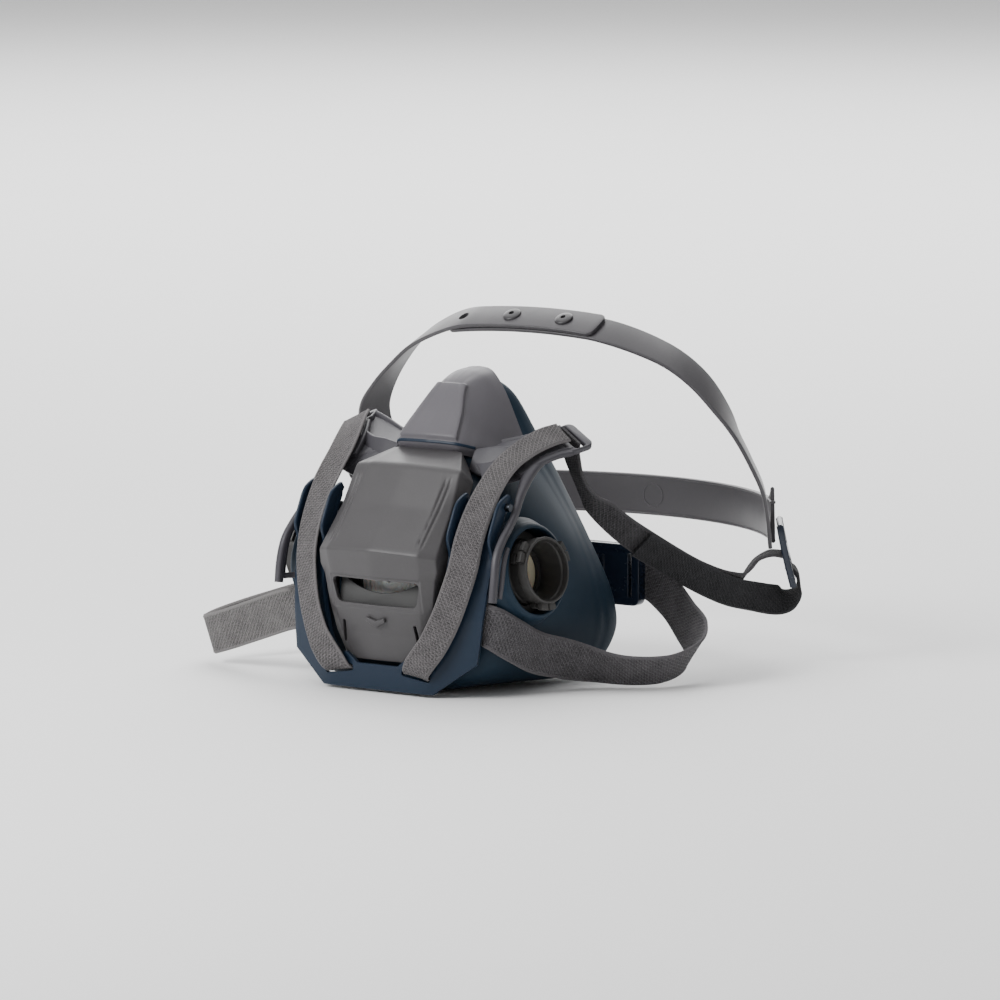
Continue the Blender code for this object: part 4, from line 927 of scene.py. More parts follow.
@dataclass
class ExhalationValve:
    """Rippled valve flap that shows through the window."""

    centre: Point = (0.0, -19.6, 42.0)
    axis: Point = (0.0, -0.977, 0.215)
    radius: float = 12.8

    def build(self, kit: Assembly) -> None:
        """Turn the rippled flap; the seat and adapter keep their CAD shape."""
        reach = np.linspace(1.6, self.radius, 60)
        ripple = 0.16 * np.cos((reach - 1.6) * 2 * math.pi / 1.9)
        top = np.stack([reach, 2.15 + ripple + 0.9 * np.exp(-((reach - 1.6) / 1.1) ** 2)], axis=1)
        bottom = np.stack([reach[::-1], 1.4 + ripple[::-1] * 0.5], axis=1)
        flap = lathe("exhale_flap", np.concatenate([bottom, top]), self.centre, self.axis, 96)
        settle(flap, kit.finishes.exhale, 60)
        kit.hang(flap, Body.EXHALE, "exhalation_valve_flap")


# ---------------------------------------------------------------------------- quick latch

@dataclass
class QuickLatch:
    """Bent U-shaped latch with a strap slot in each foot and fins beside each strap."""

    thickness: float = 1.8
    heights: Tuple[float, ...] = (0.8, 7.0, 13.0, 20.0, 30.0, 40.0, 50.0, 60.0, 68.0, 75.0)
    outer: Tuple[float, ...] = (25.7, 34.2, 42.5, 43.4, 44.3, 45.2, 46.0, 46.4, 46.4, 46.4)
    inner: Tuple[float, ...] = (12.0, 15.0, 17.6, 22.6, 25.6, 28.2, 28.7, 28.8, 28.8, 28.8)
    lean_heights: Tuple[float, ...] = (0.0, 20.0, 30.0, 40.0, 50.0, 60.0, 70.0, 78.0)
    lean: Tuple[float, ...] = (0.0, 0.9, 1.3, 2.5, 4.4, 7.3, 12.2, 18.5)
    notch: float = 13.0
    front: float = -31.2
    bend_x: float = 23.0
    bend_slope: float = 0.28

    def depth(self, x: Array, height: Array) -> Array:
        """Front face: flat middle, sides swept back past a rounded bend, plus the lean."""
        lean = np.interp(height, self.lean_heights, self.lean)
        past = np.logaddexp(0, (np.abs(x) - self.bend_x) / 1.3) * 1.3
        return self.front + self.bend_slope * past + lean

    def plate(self) -> bpy.types.Object:
        """Front face as a grid with the cells between the arms left out."""
        low = np.linspace(self.heights[0], self.notch, 14)
        high = np.linspace(self.notch, self.heights[-1], 70)[1:]
        rows = np.concatenate([low, high])
        reach = np.interp(rows, self.heights, self.outer)
        start = np.interp(rows, self.heights, self.inner)
        reach[14:] = soften(reach[14:, None], 6)[:, 0]
        start[14:] = soften(start[14:, None], 10)[:, 0]
        corner = np.clip(rows[-1] - rows, 0, 4.0)
        tuck = 4.0 - np.sqrt(np.clip(16.0 - (4.0 - corner) ** 2, 0, 16))
        reach, start = reach - tuck * 0.7, start + tuck * 0.7
        arm = np.linspace(0, 1, 15)
        left = -(reach[:, None] + (start - reach)[:, None] * arm)
        gap = np.linspace(0, 1, 14)[1:-1]
        middle = -start[:, None] + 2 * start[:, None] * gap
        x = np.concatenate([left, middle, -left[:, ::-1]], axis=1)
        dip = 2.6 * (1 - step(np.abs(x), 10.6, 13.6)) - 1.4 * step(np.abs(x), 10.6, 13.6) * (np.abs(x) < 17)
        share = np.clip((rows - self.heights[0]) / (self.notch - self.heights[0]), 0, 1) ** 2
        z = rows[:, None] - dip * (share * (rows <= self.notch))[:, None]
        surface = np.stack([x, self.depth(x, z), z], axis=-1)
        keep = np.ones((len(rows) - 1, x.shape[1] - 1), bool)
        keep[len(low) - 1:, 14:-14] = False
        return make_object("latch_skin", surface, grid_faces(*x.shape, keep=keep), clean=True)

    def fin(self, side: Side, edge: str) -> bpy.types.Object:
        """Blade along an arm's edge, deepest near its top and fading out below."""
        rows = np.linspace(53.0, 75.6, 40)
        values, sign = (self.inner, 1) if edge == "inner" else (self.outer, -1)
        x = np.interp(rows, self.heights, values) + sign * 0.8
        rise = 4.9 * step(rows, 52.0, 62.0) * np.sqrt(np.clip((76.0 - rows) / 4.0, 0.02, 1))
        y = self.depth(x, rows)
        centres = np.stack([x * side.value, y - rise / 2 + 0.6, rows], axis=1)
        across = np.broadcast_to((0.0, 1.0, 0.0), centres.shape)
        scale = np.stack([(rise + 1.4) / 6.0, np.full(len(rows), 1.0)], axis=1)
        return sweep(f"latch_fin_{edge}_{side.label}", centres, across, rounded_profile(6.0, 1.5, 0.7), scale)

    def build(self, kit: Assembly) -> None:
        """Thicken the plate, cut the strap slots, and add the fins."""
        plate = self.plate()
        turn_forward(plate)
        thicken(plate, self.thickness)
        settle(plate, kit.finishes.latch)
        for side in Side:
            outline = rounded_profile(13.2, 2.8, 0.9, 5)
            cut(plate, prism(f"slot_{side.label}", (18.0 * side.value, -31.0, 7.6), (0.99, 0, -0.15 * side.value),
                             (0.15 * side.value, 0, 0.99), outline, 12.0))
        round_edges(plate, 0.55, 3, 45)
        settle(plate, kit.finishes.latch, 35)
        pieces = [plate]
        for side in Side:
            pieces += [self.fin(side, "inner"), self.fin(side, "outer")]
        for item in pieces[1:]:
            settle(item, kit.finishes.latch, 40)
        kit.hang(join("quick_latch_shape", pieces), Body.LATCH, "quick_latch")


# ---------------------------------------------------------------------------- filter ports

@dataclass
class FilterPort:
    """Bayonet tube with three lugs, inside a soft boot."""

    side: Side
    outer: float = 12.7
    bore: float = 11.2
    depth: float = 15.0
    lug_angles: Tuple[float, ...] = (144.0, 24.0, 266.0)
    lug_blocks: Tuple[Tuple[float, float, float, float], ...] = (
        (-9.0, 7.5, -0.9, 15.3), (9.0, 7.5, -0.9, 15.3), (0.0, 17.0, -4.6, 14.4))
    lug_height: float = 2.3

    def around(self, angle: float) -> Array:
        """Direction at an angle round the axis, 0 towards the back and 90 upwards."""
        _, axis = port_frame(self.side)
        back = unit(np.array((0.0, 1.0, 0.0)) - axis * axis[1])
        up = np.cross(axis, back) * self.side.value
        return np.cos(np.radians(angle)) * back + np.sin(np.radians(angle)) * up

    def arc_block(self, name: str, first: float, last: float, radii: Tuple[float, float],
                  heights: Tuple[float, float]) -> bpy.types.Object:
        """Rounded block swept round the axis between two angles."""
        centre, axis = port_frame(self.side)
        angles = np.linspace(first, last, 14)
        outward = np.stack([self.around(angle) for angle in angles])
        middle = centre + outward * sum(radii) / 2 + axis * sum(heights) / 2
        return sweep(name, middle, outward, rounded_profile(radii[1] - radii[0], heights[1] - heights[0], 0.35))

    def build(self, kit: Assembly) -> None:
        """Build the tube, its lugs and the boot."""
        centre, axis = port_frame(self.side)
        label = self.side.label
        profile = dense_profile((
            (self.outer, -0.2), (self.outer, -4.4), (self.outer - 0.5, -4.8), (self.outer - 0.5, -8.6),
            (self.outer, -9.0), (self.outer, -12.5), (15.9, -12.5), (15.9, -self.depth),
            (self.bore, -self.depth), (self.bore, -3.0), (self.bore + 0.5, -2.4), (self.bore + 0.5, -0.2),
            (12.0, 0.0)), 0.3)
        tube = settle(lathe(f"port_tube_{label}", profile, centre, axis, 128), kit.finishes.port, 40)
        pieces = [tube]
        for number, angle in enumerate(self.lug_angles):
            for part, (shift, width, top, reach) in enumerate(self.lug_blocks):
                block = self.arc_block(f"lug_{label}_{number}_{part}", angle + shift - width, angle + shift + width,
                                       (self.outer - 0.6, reach), (top - self.lug_height, top))
                pieces.append(settle(block, kit.finishes.port, 40))
            stem = self.arc_block(f"lug_stem_{label}_{number}", angle - 3, angle + 3, (self.outer - 0.6, 14.6),
                                  (-6.0, -1.6))
            pieces.append(settle(stem, kit.finishes.port, 40))
        kit.hang(join(f"port_shape_{label}", pieces), Body.MASK, f"port_{label}")
        boot = lathe(f"port_boot_shape_{label}", dense_profile((
            (17.0, -5.3), (18.3, -6.3), (18.8, -8.6), (20.2, -10.4), (21.4, -12.6), (16.2, -13.4), (16.2, -6.7),
            (16.5, -5.5)), 0.8), centre, axis, 128)
        settle(boot, kit.finishes.seal, 50)
        kit.hang(boot, Body.MASK, f"port_boot_{label}")


# ---------------------------------------------------------------------------- frame arms

@dataclass
class FrameArm:
    """Grey arm: wings and plates to the nose, ridged saddle, looped hook, strut, leg and strap bar."""

    side: Side
    hook_centre: Point = (50.0, 26.4, 94.6)
    hook_width: Point = (0.866, -0.223, -0.446)
    hook_strap: Point = (0.350, 0.910, 0.223)
    wall: float = 1.5

    def mirror(self, points: Sequence[Point]) -> Array:
        """Points on this arm's side."""
        return np.array(points, float) * (self.side.value, 1, 1)

    def band(self, name: str, route: Sequence[Tuple[Point, Point]], width: float, height: float,
             radius: float, taper: Optional[Sequence[float]] = None) -> bpy.types.Object:
        """Rounded bar along a smooth route, with an optional width factor at each point."""
        centres = spline(self.mirror([centre for centre, _ in route]), 8)
        across = spline(self.mirror([unit(np.array(direction)) for _, direction in route]), 8)
        scale = None
        if taper is not None:
            factor = spline(np.array(taper, float)[:, None], 8)
            scale = np.concatenate([factor, np.ones_like(factor)], axis=1)
        return sweep(name, centres, across, rounded_profile(width, height, radius), scale)

    def hook(self) -> bpy.types.Object:
        """Rounded loop that the strap passes through."""
        width = unit(self.mirror([self.hook_width])[0])
        strap_way = self.mirror([self.hook_strap])[0]
        strap_way = unit(strap_way - width * (strap_way @ width))
        centre = self.mirror([self.hook_centre])[0]
        outline = rounded_profile(15.6, 11.8, 2.8, 7)
        hole = rounded_profile(13.4, 5.0, 1.0, 5) + (0.0, 0.05)
        return slab(f"hook_{self.side.label}", centre, width, strap_way, outline, 2.5, 0.75, [hole])

    @staticmethod
    def between(first: Array, second: Array, columns: int) -> Tuple[Array, Array]:
        """Straight rulings between two smooth edges, and each column's share from the first to the second."""
        edges = spline(np.stack([first, second], axis=1), 8)
        share = np.linspace(0, 1, columns)[None, :, None]
        return edges[:, :1] * (1 - share) + edges[:, 1:] * share, share

    def yoke(self) -> bpy.types.Object:
        """Curved plate between the cover's shoulder and the saddle."""
        inner = self.mirror([(17.0, 8.0, 87.2), (23.5, 3.4, 83.6), (28.2, -1.0, 79.4), (29.6, -2.6, 77.0)])
        outer = self.mirror([(37.0, 12.8, 90.4), (40.8, 6.4, 87.4), (44.4, 1.6, 83.8), (45.2, 0.4, 82.4)])
        surface, share = self.between(inner, outer, 22)
        ridge = np.exp(-((share - 0.42) / 0.035) ** 2) * 0.5 + np.exp(-((share - 0.60) / 0.035) ** 2) * 0.4
        surface = surface + ridge * (0.0, -1.0, 0.3)
        plate = make_object(f"yoke_{self.side.label}", surface, grid_faces(*surface.shape[:2]))
        turn_forward(plate)
        thicken(plate, self.wall)
        round_edges(plate, 0.4)
        return plate

    def gusset(self) -> bpy.types.Object:
        """Sloping plate from the wing up to the hook, beside the nose."""
        low = self.mirror([(19.0, 8.0, 87.4), (27.0, 8.0, 87.6), (34.0, 10.0, 89.0), (40.0, 14.0, 91.0)])
        high = self.mirror([(22.0, 21.0, 91.6), (30.0, 24.6, 93.6), (37.4, 26.6, 95.8), (43.6, 27.6, 97.2)])
        surface, _ = self.between(low, high, 16)
        plate = make_object(f"gusset_{self.side.label}", surface, grid_faces(*surface.shape[:2]))
        thicken(plate, self.wall, 0.0)
        round_edges(plate, 0.4)
        return plate

    def build(self, kit: Assembly) -> None:
        """Build and join every part of the arm."""
        name = self.side.label
        saddle_route = (
            ((39.6, 1.6, 84.0), (0.98, 0.0, -0.1)), ((42.6, 9.6, 89.2), (0.95, -0.08, -0.25)),
            ((46.2, 17.0, 92.2), (0.90, -0.17, -0.40)), ((49.6, 23.0, 93.4), (0.866, -0.223, -0.446)))
        pieces = [
            self.hook(),
            self.band(f"saddle_{name}", saddle_route, 15.0, 2.3, 0.9, (0.8, 1.0, 1.0, 1.0)),
            self.band(f"wing_{name}", (
                ((18.0, 7.4, 86.2), (0.15, 0.45, 0.90)), ((25.0, 7.6, 86.0), (0.12, 0.45, 0.90)),
                ((33.0, 9.4, 86.8), (0.1, 0.45, 0.90)), ((41.0, 13.6, 89.6), (0.1, 0.5, 0.85))),
                12.5, 2.4, 0.9, (0.75, 1.0, 0.95, 0.8)),
            self.band(f"wing_upper_{name}", (
                ((21.5, 21.4, 91.0), (0.1, 0.3, 0.95)), ((30.0, 24.8, 93.2), (0.1, 0.3, 0.95)),
                ((37.4, 27.0, 95.6), (0.1, 0.3, 0.95)), ((44.0, 28.6, 97.2), (0.1, 0.3, 0.95))),
                4.6, 2.0, 0.8, (1.0, 0.9, 0.95, 1.1)),
            self.yoke(),
            self.gusset(),
            self.band(f"strut_{name}", (
                ((46.2, 14.0, 90.0), (0.97, 0.0, -0.3)), ((46.4, 5.0, 85.0), (0.97, 0.1, -0.2)),
                ((47.6, -2.6, 77.2), (0.98, 0.1, -0.1)), ((48.6, -9.5, 68.0), (0.99, 0.1, 0.0)),
                ((49.2, -18.0, 60.0), (0.99, 0.1, 0.0)), ((49.8, -22.6, 54.0), (0.99, 0.1, 0.0)),
                ((50.4, -24.8, 46.0), (0.99, 0.1, 0.0)), ((50.4, -26.0, 37.6), (0.99, 0.1, 0.0))),
                2.8, 3.2, 1.0, (2.4, 2.1, 1.1, 0.9, 0.95, 1.0, 1.02, 1.0)),
            self.band(f"leg_slat_{name}", (
                ((50.9, -16.6, 57.6), (0.0, 1.0, 0.0)), ((51.2, -19.6, 52.0), (0.0, 1.0, 0.0)),
                ((51.4, -21.2, 45.0), (0.0, 1.0, 0.0)), ((51.2, -22.4, 38.8), (0.0, 1.0, 0.0))),
                2.4, 1.2, 0.5, (0.7, 1.0, 1.0, 0.9)),
            self.band(f"foot_{name}", (
                ((50.6, -24.8, 39.9), (0.0, 1.0, 0.0)), ((48.4, -20.6, 39.9), (0.5, 0.8, 0.0)),
                ((45.4, -18.6, 39.9), (0.2, 1.0, 0.0)), ((42.0, -18.2, 39.9), (0.0, 1.0, 0.0))), 2.0, 2.3, 0.8),
            self.band(f"strap_bar_{name}", (
                ((42.0, -18.2, 40.2), (1.0, 0.0, 0.0)), ((42.0, -18.2, 34.0), (1.0, 0.0, 0.0)),
                ((42.0, -18.2, 27.0), (1.0, 0.0, 0.0)), ((42.0, -18.2, 20.3), (1.0, 0.0, 0.0))), 1.9, 1.9, 0.9),
        ]
        for offset in (-5.6, 5.6):
            ridge = [((x + offset * across[0] / 1.05, y + offset * across[1], z + offset * across[2] + 1.35), across)
                     for (x, y, z), across in saddle_route[1:]]
            pieces.append(self.band(f"saddle_ridge_{name}_{offset > 0}", ridge, 1.0, 0.8, 0.35))
        for item in pieces:
            settle(item, kit.finishes.arm, 40)
        kit.hang(join(f"frame_arm_shape_{name}", pieces), Body.MASK, f"frame_arm_{name}")


# ---------------------------------------------------------------------------- straps

Route = Tuple[Tuple[Point, Point], ...]


@dataclass
class Straps:
    """Every run of webbing, on the same routes on both sides but for the neck."""

    width: float = 12.0
    neck_width: float = 16.3
    thickness: float = 1.05
    front: Route = (
        ((18.0, -28.4, 7.3), (0.99, 0.0, -0.15)), ((18.3, -30.9, 8.0), (0.99, 0.0, -0.15)),
        ((20.0, -32.6, 10.8), (0.95, 0.0, -0.30)), ((23.6, -32.9, 15.4), (0.93, 0.06, -0.36)),
        ((27.3, -32.2, 20.6), (0.94, 0.18, -0.28)), ((31.7, -30.6, 30.0), (0.955, 0.28, -0.06)),
        ((34.8, -28.6, 40.0), (0.955, 0.29, 0.0)), ((36.9, -26.1, 50.0), (0.955, 0.29, 0.0)),
        ((37.4, -23.0, 60.0), (0.96, 0.27, 0.0)), ((37.8, -17.4, 70.0), (0.97, 0.22, 0.0)),
        ((38.2, -9.5, 79.6), (0.98, 0.08, 0.0)), ((39.2, -0.8, 87.0), (0.98, 0.0, -0.1)),
        ((42.0, 8.0, 92.4), (0.95, -0.08, -0.25)), ((45.6, 16.5, 96.1), (0.90, -0.17, -0.40)),
        ((48.9, 23.2, 97.6), (0.866, -0.223, -0.446)))
    rear: Route = (
        ((50.8, 25.9, 96.4), (0.866, -0.223, -0.446)), ((49.2, 27.3, 92.6), (0.866, -0.223, -0.446)),
        ((49.6, 28.4, 87.4), (0.88, -0.36, -0.25)), ((51.2, 29.8, 80.4), (0.76, -0.58, 0.16)),
        ((53.2, 33.4, 73.2), (0.52, -0.62, 0.50)), ((55.6, 39.0, 67.0), (0.36, -0.54, 0.76)),
        ((60.4, 52.4, 56.2), (0.30, -0.46, 0.83)), ((67.4, 74.8, 42.4), (0.26, -0.36, 0.89)),
        ((72.1, 87.4, 35.8), (0.24, -0.24, 0.94)), ((75.6, 96.6, 32.8), (0.34, -0.28, 0.88)),
        ((77.8, 103.0, 33.4), (0.56, -0.48, 0.62)), ((79.2, 107.0, 37.2), (0.68, -0.64, 0.30)),
        ((81.2, 110.4, 41.4), (0.62, -0.76, 0.10)), ((84.8, 114.4, 43.6), (0.57, -0.82, -0.02)),
        ((88.6, 118.8, 43.2), (0.55, -0.83, -0.06)))
    tail: Route = (
        ((63.4, 55.6, 51.8), (0.30, -0.46, 0.83)), ((69.4, 74.0, 41.4), (0.26, -0.36, 0.89)),
        ((74.1, 86.6, 34.6), (0.24, -0.24, 0.94)), ((78.2, 97.2, 29.9), (0.24, -0.14, 0.96)),
        ((82.4, 107.6, 27.2), (0.20, -0.02, 0.98)), ((86.2, 114.4, 25.6), (0.0, 0.20, 0.96)),
        ((89.8, 119.2, 25.6), (-0.40, 0.60, 0.66)), ((92.6, 122.4, 29.0), (-0.55, 0.80, 0.30)),
        ((92.7, 122.4, 34.0), (-0.55, 0.83, 0.06)), ((91.4, 121.4, 37.4), (-0.55, 0.83, 0.06)),
        ((88.6, 119.6, 38.8), (-0.55, 0.83, 0.06)))
    neck_left: Route = (
        ((40.4, -20.6, 28.6), (0.0, 0.0, 1.0)), ((45.8, -19.4, 27.0), (0.05, -0.04, 0.99)),
        ((50.6, -11.0, 21.2), (0.08, -0.06, 0.99)), ((52.6, 0.0, 15.8), (0.10, -0.06, 0.99)),
        ((55.6, 12.0, 12.4), (0.16, -0.12, 0.97)), ((63.4, 23.6, 8.8), (0.30, -0.38, 0.87)),
        ((75.4, 31.0, 6.9), (0.36, -0.50, 0.78)), ((86.0, 39.8, 7.6), (0.56, -0.32, 0.76)),
        ((89.6, 51.0, 11.4), (0.56, 0.05, 0.83)), ((84.6, 62.0, 16.6), (0.30, 0.36, 0.88)),
        ((73.4, 71.4, 21.4), (0.08, 0.30, 0.94)), ((62.5, 78.4, 27.6), (0.0, 0.20, 0.97)),
        ((53.6, 81.6, 32.4), (0.0, 0.10, 0.99)), ((48.0, 82.2, 34.6), (0.0, 0.04, 0.99)),
        ((43.6, 79.6, 35.6), (0.0, 0.0, 1.0)))
    neck_right: Route = (
        ((-40.4, -20.6, 28.6), (0.0, 0.0, 1.0)), ((-46.0, -19.6, 27.4), (-0.05, -0.04, 0.99)),
        ((-55.0, -18.2, 25.0), (-0.08, -0.12, 0.98)), ((-70.0, -14.6, 20.0), (-0.14, -0.20, 0.96)),
        ((-86.0, -12.0, 14.6), (-0.18, -0.22, 0.95)), ((-97.0, -8.4, 11.4), (-0.24, -0.16, 0.95)),
        ((-101.6, -1.6, 10.6), (-0.30, 0.0, 0.95)), ((-100.0, 7.0, 12.6), (-0.26, 0.14, 0.95)),
        ((-92.0, 21.0, 16.6), (-0.12, 0.22, 0.96)), ((-76.0, 41.0, 22.6), (-0.06, 0.22, 0.97)),
        ((-55.0, 61.0, 27.6), (-0.04, 0.22, 0.97)), ((-34.0, 74.0, 31.0), (0.0, 0.20, 0.98)),
        ((-14.2, 79.0, 32.4), (0.0, 0.16, 0.99)))

    def build(self, kit: Assembly) -> None:
        """Weave both sides: the front and rear runs, the tails and the neck straps."""
        for side in Side:
            name, x = side.label, side.value
            front = strap(f"front_webbing_{name}", self.front, self.width, self.thickness, side)
            settle(front, kit.finishes.front_web, 70)
            kit.bend(front, Body.MASK, Body.LATCH, (38 * x, -9, 80), (37 * x, -24, 58), f"front_strap_{name}")
            rear = strap(f"rear_webbing_{name}", self.rear, self.width, self.thickness, side)
            settle(rear, kit.finishes.rear_web, 70)
            kit.bend(rear, Body.MASK, Body.HARNESS, (50 * x, 27, 93), (53 * x, 34, 72), f"rear_strap_{name}")
            tail = strap(f"tail_webbing_{name}", self.tail, self.width, self.thickness, side)
            settle(tail, kit.finishes.tail_web, 70)
            kit.hang(tail, Body.HARNESS, f"strap_tail_{name}")
        left = strap("neck_webbing_left", self.neck_left, self.neck_width, self.thickness, Side.LEFT)
        kit.hang(settle(left, kit.finishes.neck_web, 70), Body.MASK, "neck_strap_left")
        right = strap("neck_webbing_right", self.neck_right, self.neck_width, self.thickness, Side.LEFT)
        # The far half of the neck strap takes the lighter copy of the neck webbing: painted light.
        kit.hang(settle(right, kit.finishes.far_web, 70), Body.MASK, "neck_strap_right")


@dataclass
class NeckClasp:
    """Slide clasp: a receiver and a hook plate, each with a strap slot and grip ridges."""

    left_x: float = -11.0
    right_x: float = 48.0
    depth_at: float = 79.0
    height_at: float = 36.0
    height: float = 24.0
    depth: float = 4.8
    ridge_count: int = 4
    ridge_start: float = 5.0
    ridge_pitch: float = 2.6

    def half(self, name: str, low: float, high: float, slot_x: float) -> bpy.types.Object:
        """Rounded plate with one strap slot and a row of ridges on both faces."""
        middle = (low + high) / 2
        plate = slab(name, (middle, self.depth_at, self.height_at), (1, 0, 0), (0, 0, 1),
                     rounded_profile(high - low, self.height, 3.0, 7), self.depth, 0.9,
                     [rounded_profile(1.5, self.height - 6.5, 0.6, 5) + (slot_x - middle, 0.0)])
        ridges = [plate]
        inner = low if slot_x > middle else high
        for number in range(self.ridge_count):
            x = inner + (1 if slot_x > middle else -1) * (self.ridge_start + self.ridge_pitch * number)
            for face in (-1, 1):
                y = self.depth_at + face * self.depth / 2
                ridges.append(bar(f"{name}_ridge_{number}_{face}", (x, y, self.height_at - 7.5),
                                  (x, y, self.height_at + 7.5), (1, 0, 0), 1.1, 0.7, 0.3))
        return join(name, ridges)

    def build(self, kit: Assembly) -> None:
        """Build both halves of the clasp."""
        middle = (self.left_x + self.right_x) / 2
        receiver = self.half("clasp_receiver", middle + 0.15, self.right_x, self.right_x - 4.2)
        kit.hang(settle(receiver, kit.finishes.buckle, 40), Body.MASK, "neck_buckle_receiver")
        hook = self.half("clasp_hook", self.left_x, middle - 0.15, self.left_x + 4.2)
        kit.hang(settle(hook, kit.finishes.buckle, 40), Body.MASK, "neck_buckle_hook")


# ---------------------------------------------------------------------------- head cradle

@dataclass
class HeadCradle:
    """Flexible cradle: rear band, flared junctions, and crown arms that overlap under two snaps."""

    thickness: float = 1.6
    crown_width: float = 13.6
    band_radius: float = 104.0
    band_centre: float = 56.0
    band_half_angle: float = 54.2
    band_height: float = 16.5
    band_z: float = 56.0
    snaps: Tuple[float, float] = (-9.0, 15.5)
    holes: Tuple[float, ...] = (-33.0,)
    hole_radius: float = 2.2
    crown_across: Point = (0.0, 0.87, 0.49)
    crown_normal: Point = (0.0, -0.49, 0.87)
    arm: Route = (
        ((34.0, 74.2, 131.4), (0.02, 0.87, 0.49)), ((48.0, 77.4, 127.4), (0.0, 0.90, 0.45)),
        ((61.0, 80.8, 121.6), (-0.04, 0.93, 0.37)), ((71.5, 83.4, 113.6), (-0.10, 0.95, 0.30)),
        ((80.5, 84.6, 103.4), (-0.25, 0.95, 0.20)), ((86.8, 86.6, 93.0), (-0.50, 0.84, 0.15)),
        ((89.2, 93.0, 82.0), (-0.55, 0.82, 0.12)), ((89.2, 101.2, 71.0), (-0.56, 0.82, 0.10)),
        ((86.8, 108.6, 60.5), (-0.56, 0.82, 0.08)), ((84.4, 114.4, 49.5), (-0.55, 0.83, 0.06)))
    lifts: Tuple[float, ...] = (1.6, 0.9, 0.3, 0, 0, 0, 0, 0, 0, 0)

    def crown_point(self, x: float) -> Array:
        """Point on the flat top of the crown, which bows down to both sides."""
        bow = 0.0016 * x * x
        return np.array((x, 73.4 + bow * 0.5, 133.4 - bow))

    def top(self, start: float, end: float, rise: float) -> list:
        """Route of the top of the crown, raised over the layer below."""
        normal = np.array(self.crown_normal)
        return [(tuple(self.crown_point(x) + normal * rise), self.crown_across) for x in np.linspace(start, end, 5)]

    def layer(self, name: str, route: Sequence[Tuple[Point, Point]], side: Side) -> bpy.types.Object:
        """One crown arm with a rounded free end."""
        mirror = np.array((side.value, 1, 1))
        centres = spline(np.array([centre for centre, _ in route]), 10) * mirror
        across = spline(unit(np.array([direction for _, direction in route])), 10) * mirror
        travelled = np.concatenate([[0], np.cumsum(np.linalg.norm(np.diff(centres, axis=0), axis=1))])
        radius = self.crown_width / 2
        nose = 0.42 * radius
        extra = np.linspace(0.02, nose, 12)
        places = np.concatenate([extra, travelled[travelled > nose]])
        centres = np.stack([np.interp(places, travelled, centres[:, axis]) for axis in range(3)], axis=1)
        across = np.stack([np.interp(places, travelled, across[:, axis]) for axis in range(3)], axis=1)
        inset = np.clip(nose - places, 0, nose) / nose
        factor = 0.55 + 0.45 * np.sqrt(np.clip(1 - inset ** 2, 0, 1))
        scale = np.stack([factor, np.ones_like(factor)], axis=1)
        return sweep(name, centres, across, rounded_profile(self.crown_width, self.thickness, 0.62, 4), scale)

    def band(self) -> bpy.types.Object:
        """Rear band, widening smoothly into both junctions."""
        angle = np.radians(np.linspace(-self.band_half_angle, self.band_half_angle, 121))
        centres = np.stack([self.band_radius * np.sin(angle), self.band_centre + self.band_radius * np.cos(angle),
                            np.full_like(angle, self.band_z)], axis=1)
        share = np.abs(angle) / angle[-1]
        rise = np.clip((share - 0.86) / 0.14, 0, 1) ** 2
        flare = 1 + 0.36 * rise
        centres[:, 2] += 2.6 * rise
        across = np.broadcast_to((0.0, 0.0, 1.0), centres.shape)
        return sweep("cradle_band", centres, across, rounded_profile(self.band_height, self.thickness, 0.62, 4),
                     np.stack([flare, np.ones_like(flare)], axis=1))

    def rims(self) -> list:
        """Low rolled rims along both edges of the band's outer face and a faint moulded circle."""
        pieces = []
        angle = np.radians(np.linspace(-self.band_half_angle, self.band_half_angle, 101))
        for edge in (-1, 1):
            radius = self.band_radius
            centres = np.stack([radius * np.sin(angle), self.band_centre + radius * np.cos(angle),
                                np.full_like(angle, self.band_z + edge * (self.band_height / 2 - 0.7))], axis=1)
            pieces.append(sweep(f"band_rim_{edge}", centres, np.broadcast_to((0.0, 0.0, 1.0), centres.shape),
                                rounded_profile(1.1, 2.3, 0.5, 4)))
        turn = np.linspace(0, 2 * math.pi, 60)
        face = self.band_centre + self.band_radius - 0.8
        circle = np.stack([4.6 * np.cos(turn), np.full_like(turn, face), self.band_z + 4.6 * np.sin(turn)], axis=1)
        pieces.append(sweep("band_circle", circle, np.broadcast_to((0.0, 1.0, 0.0), circle.shape),
                            rounded_profile(0.5, 0.7, 0.2, 4)))
        return pieces

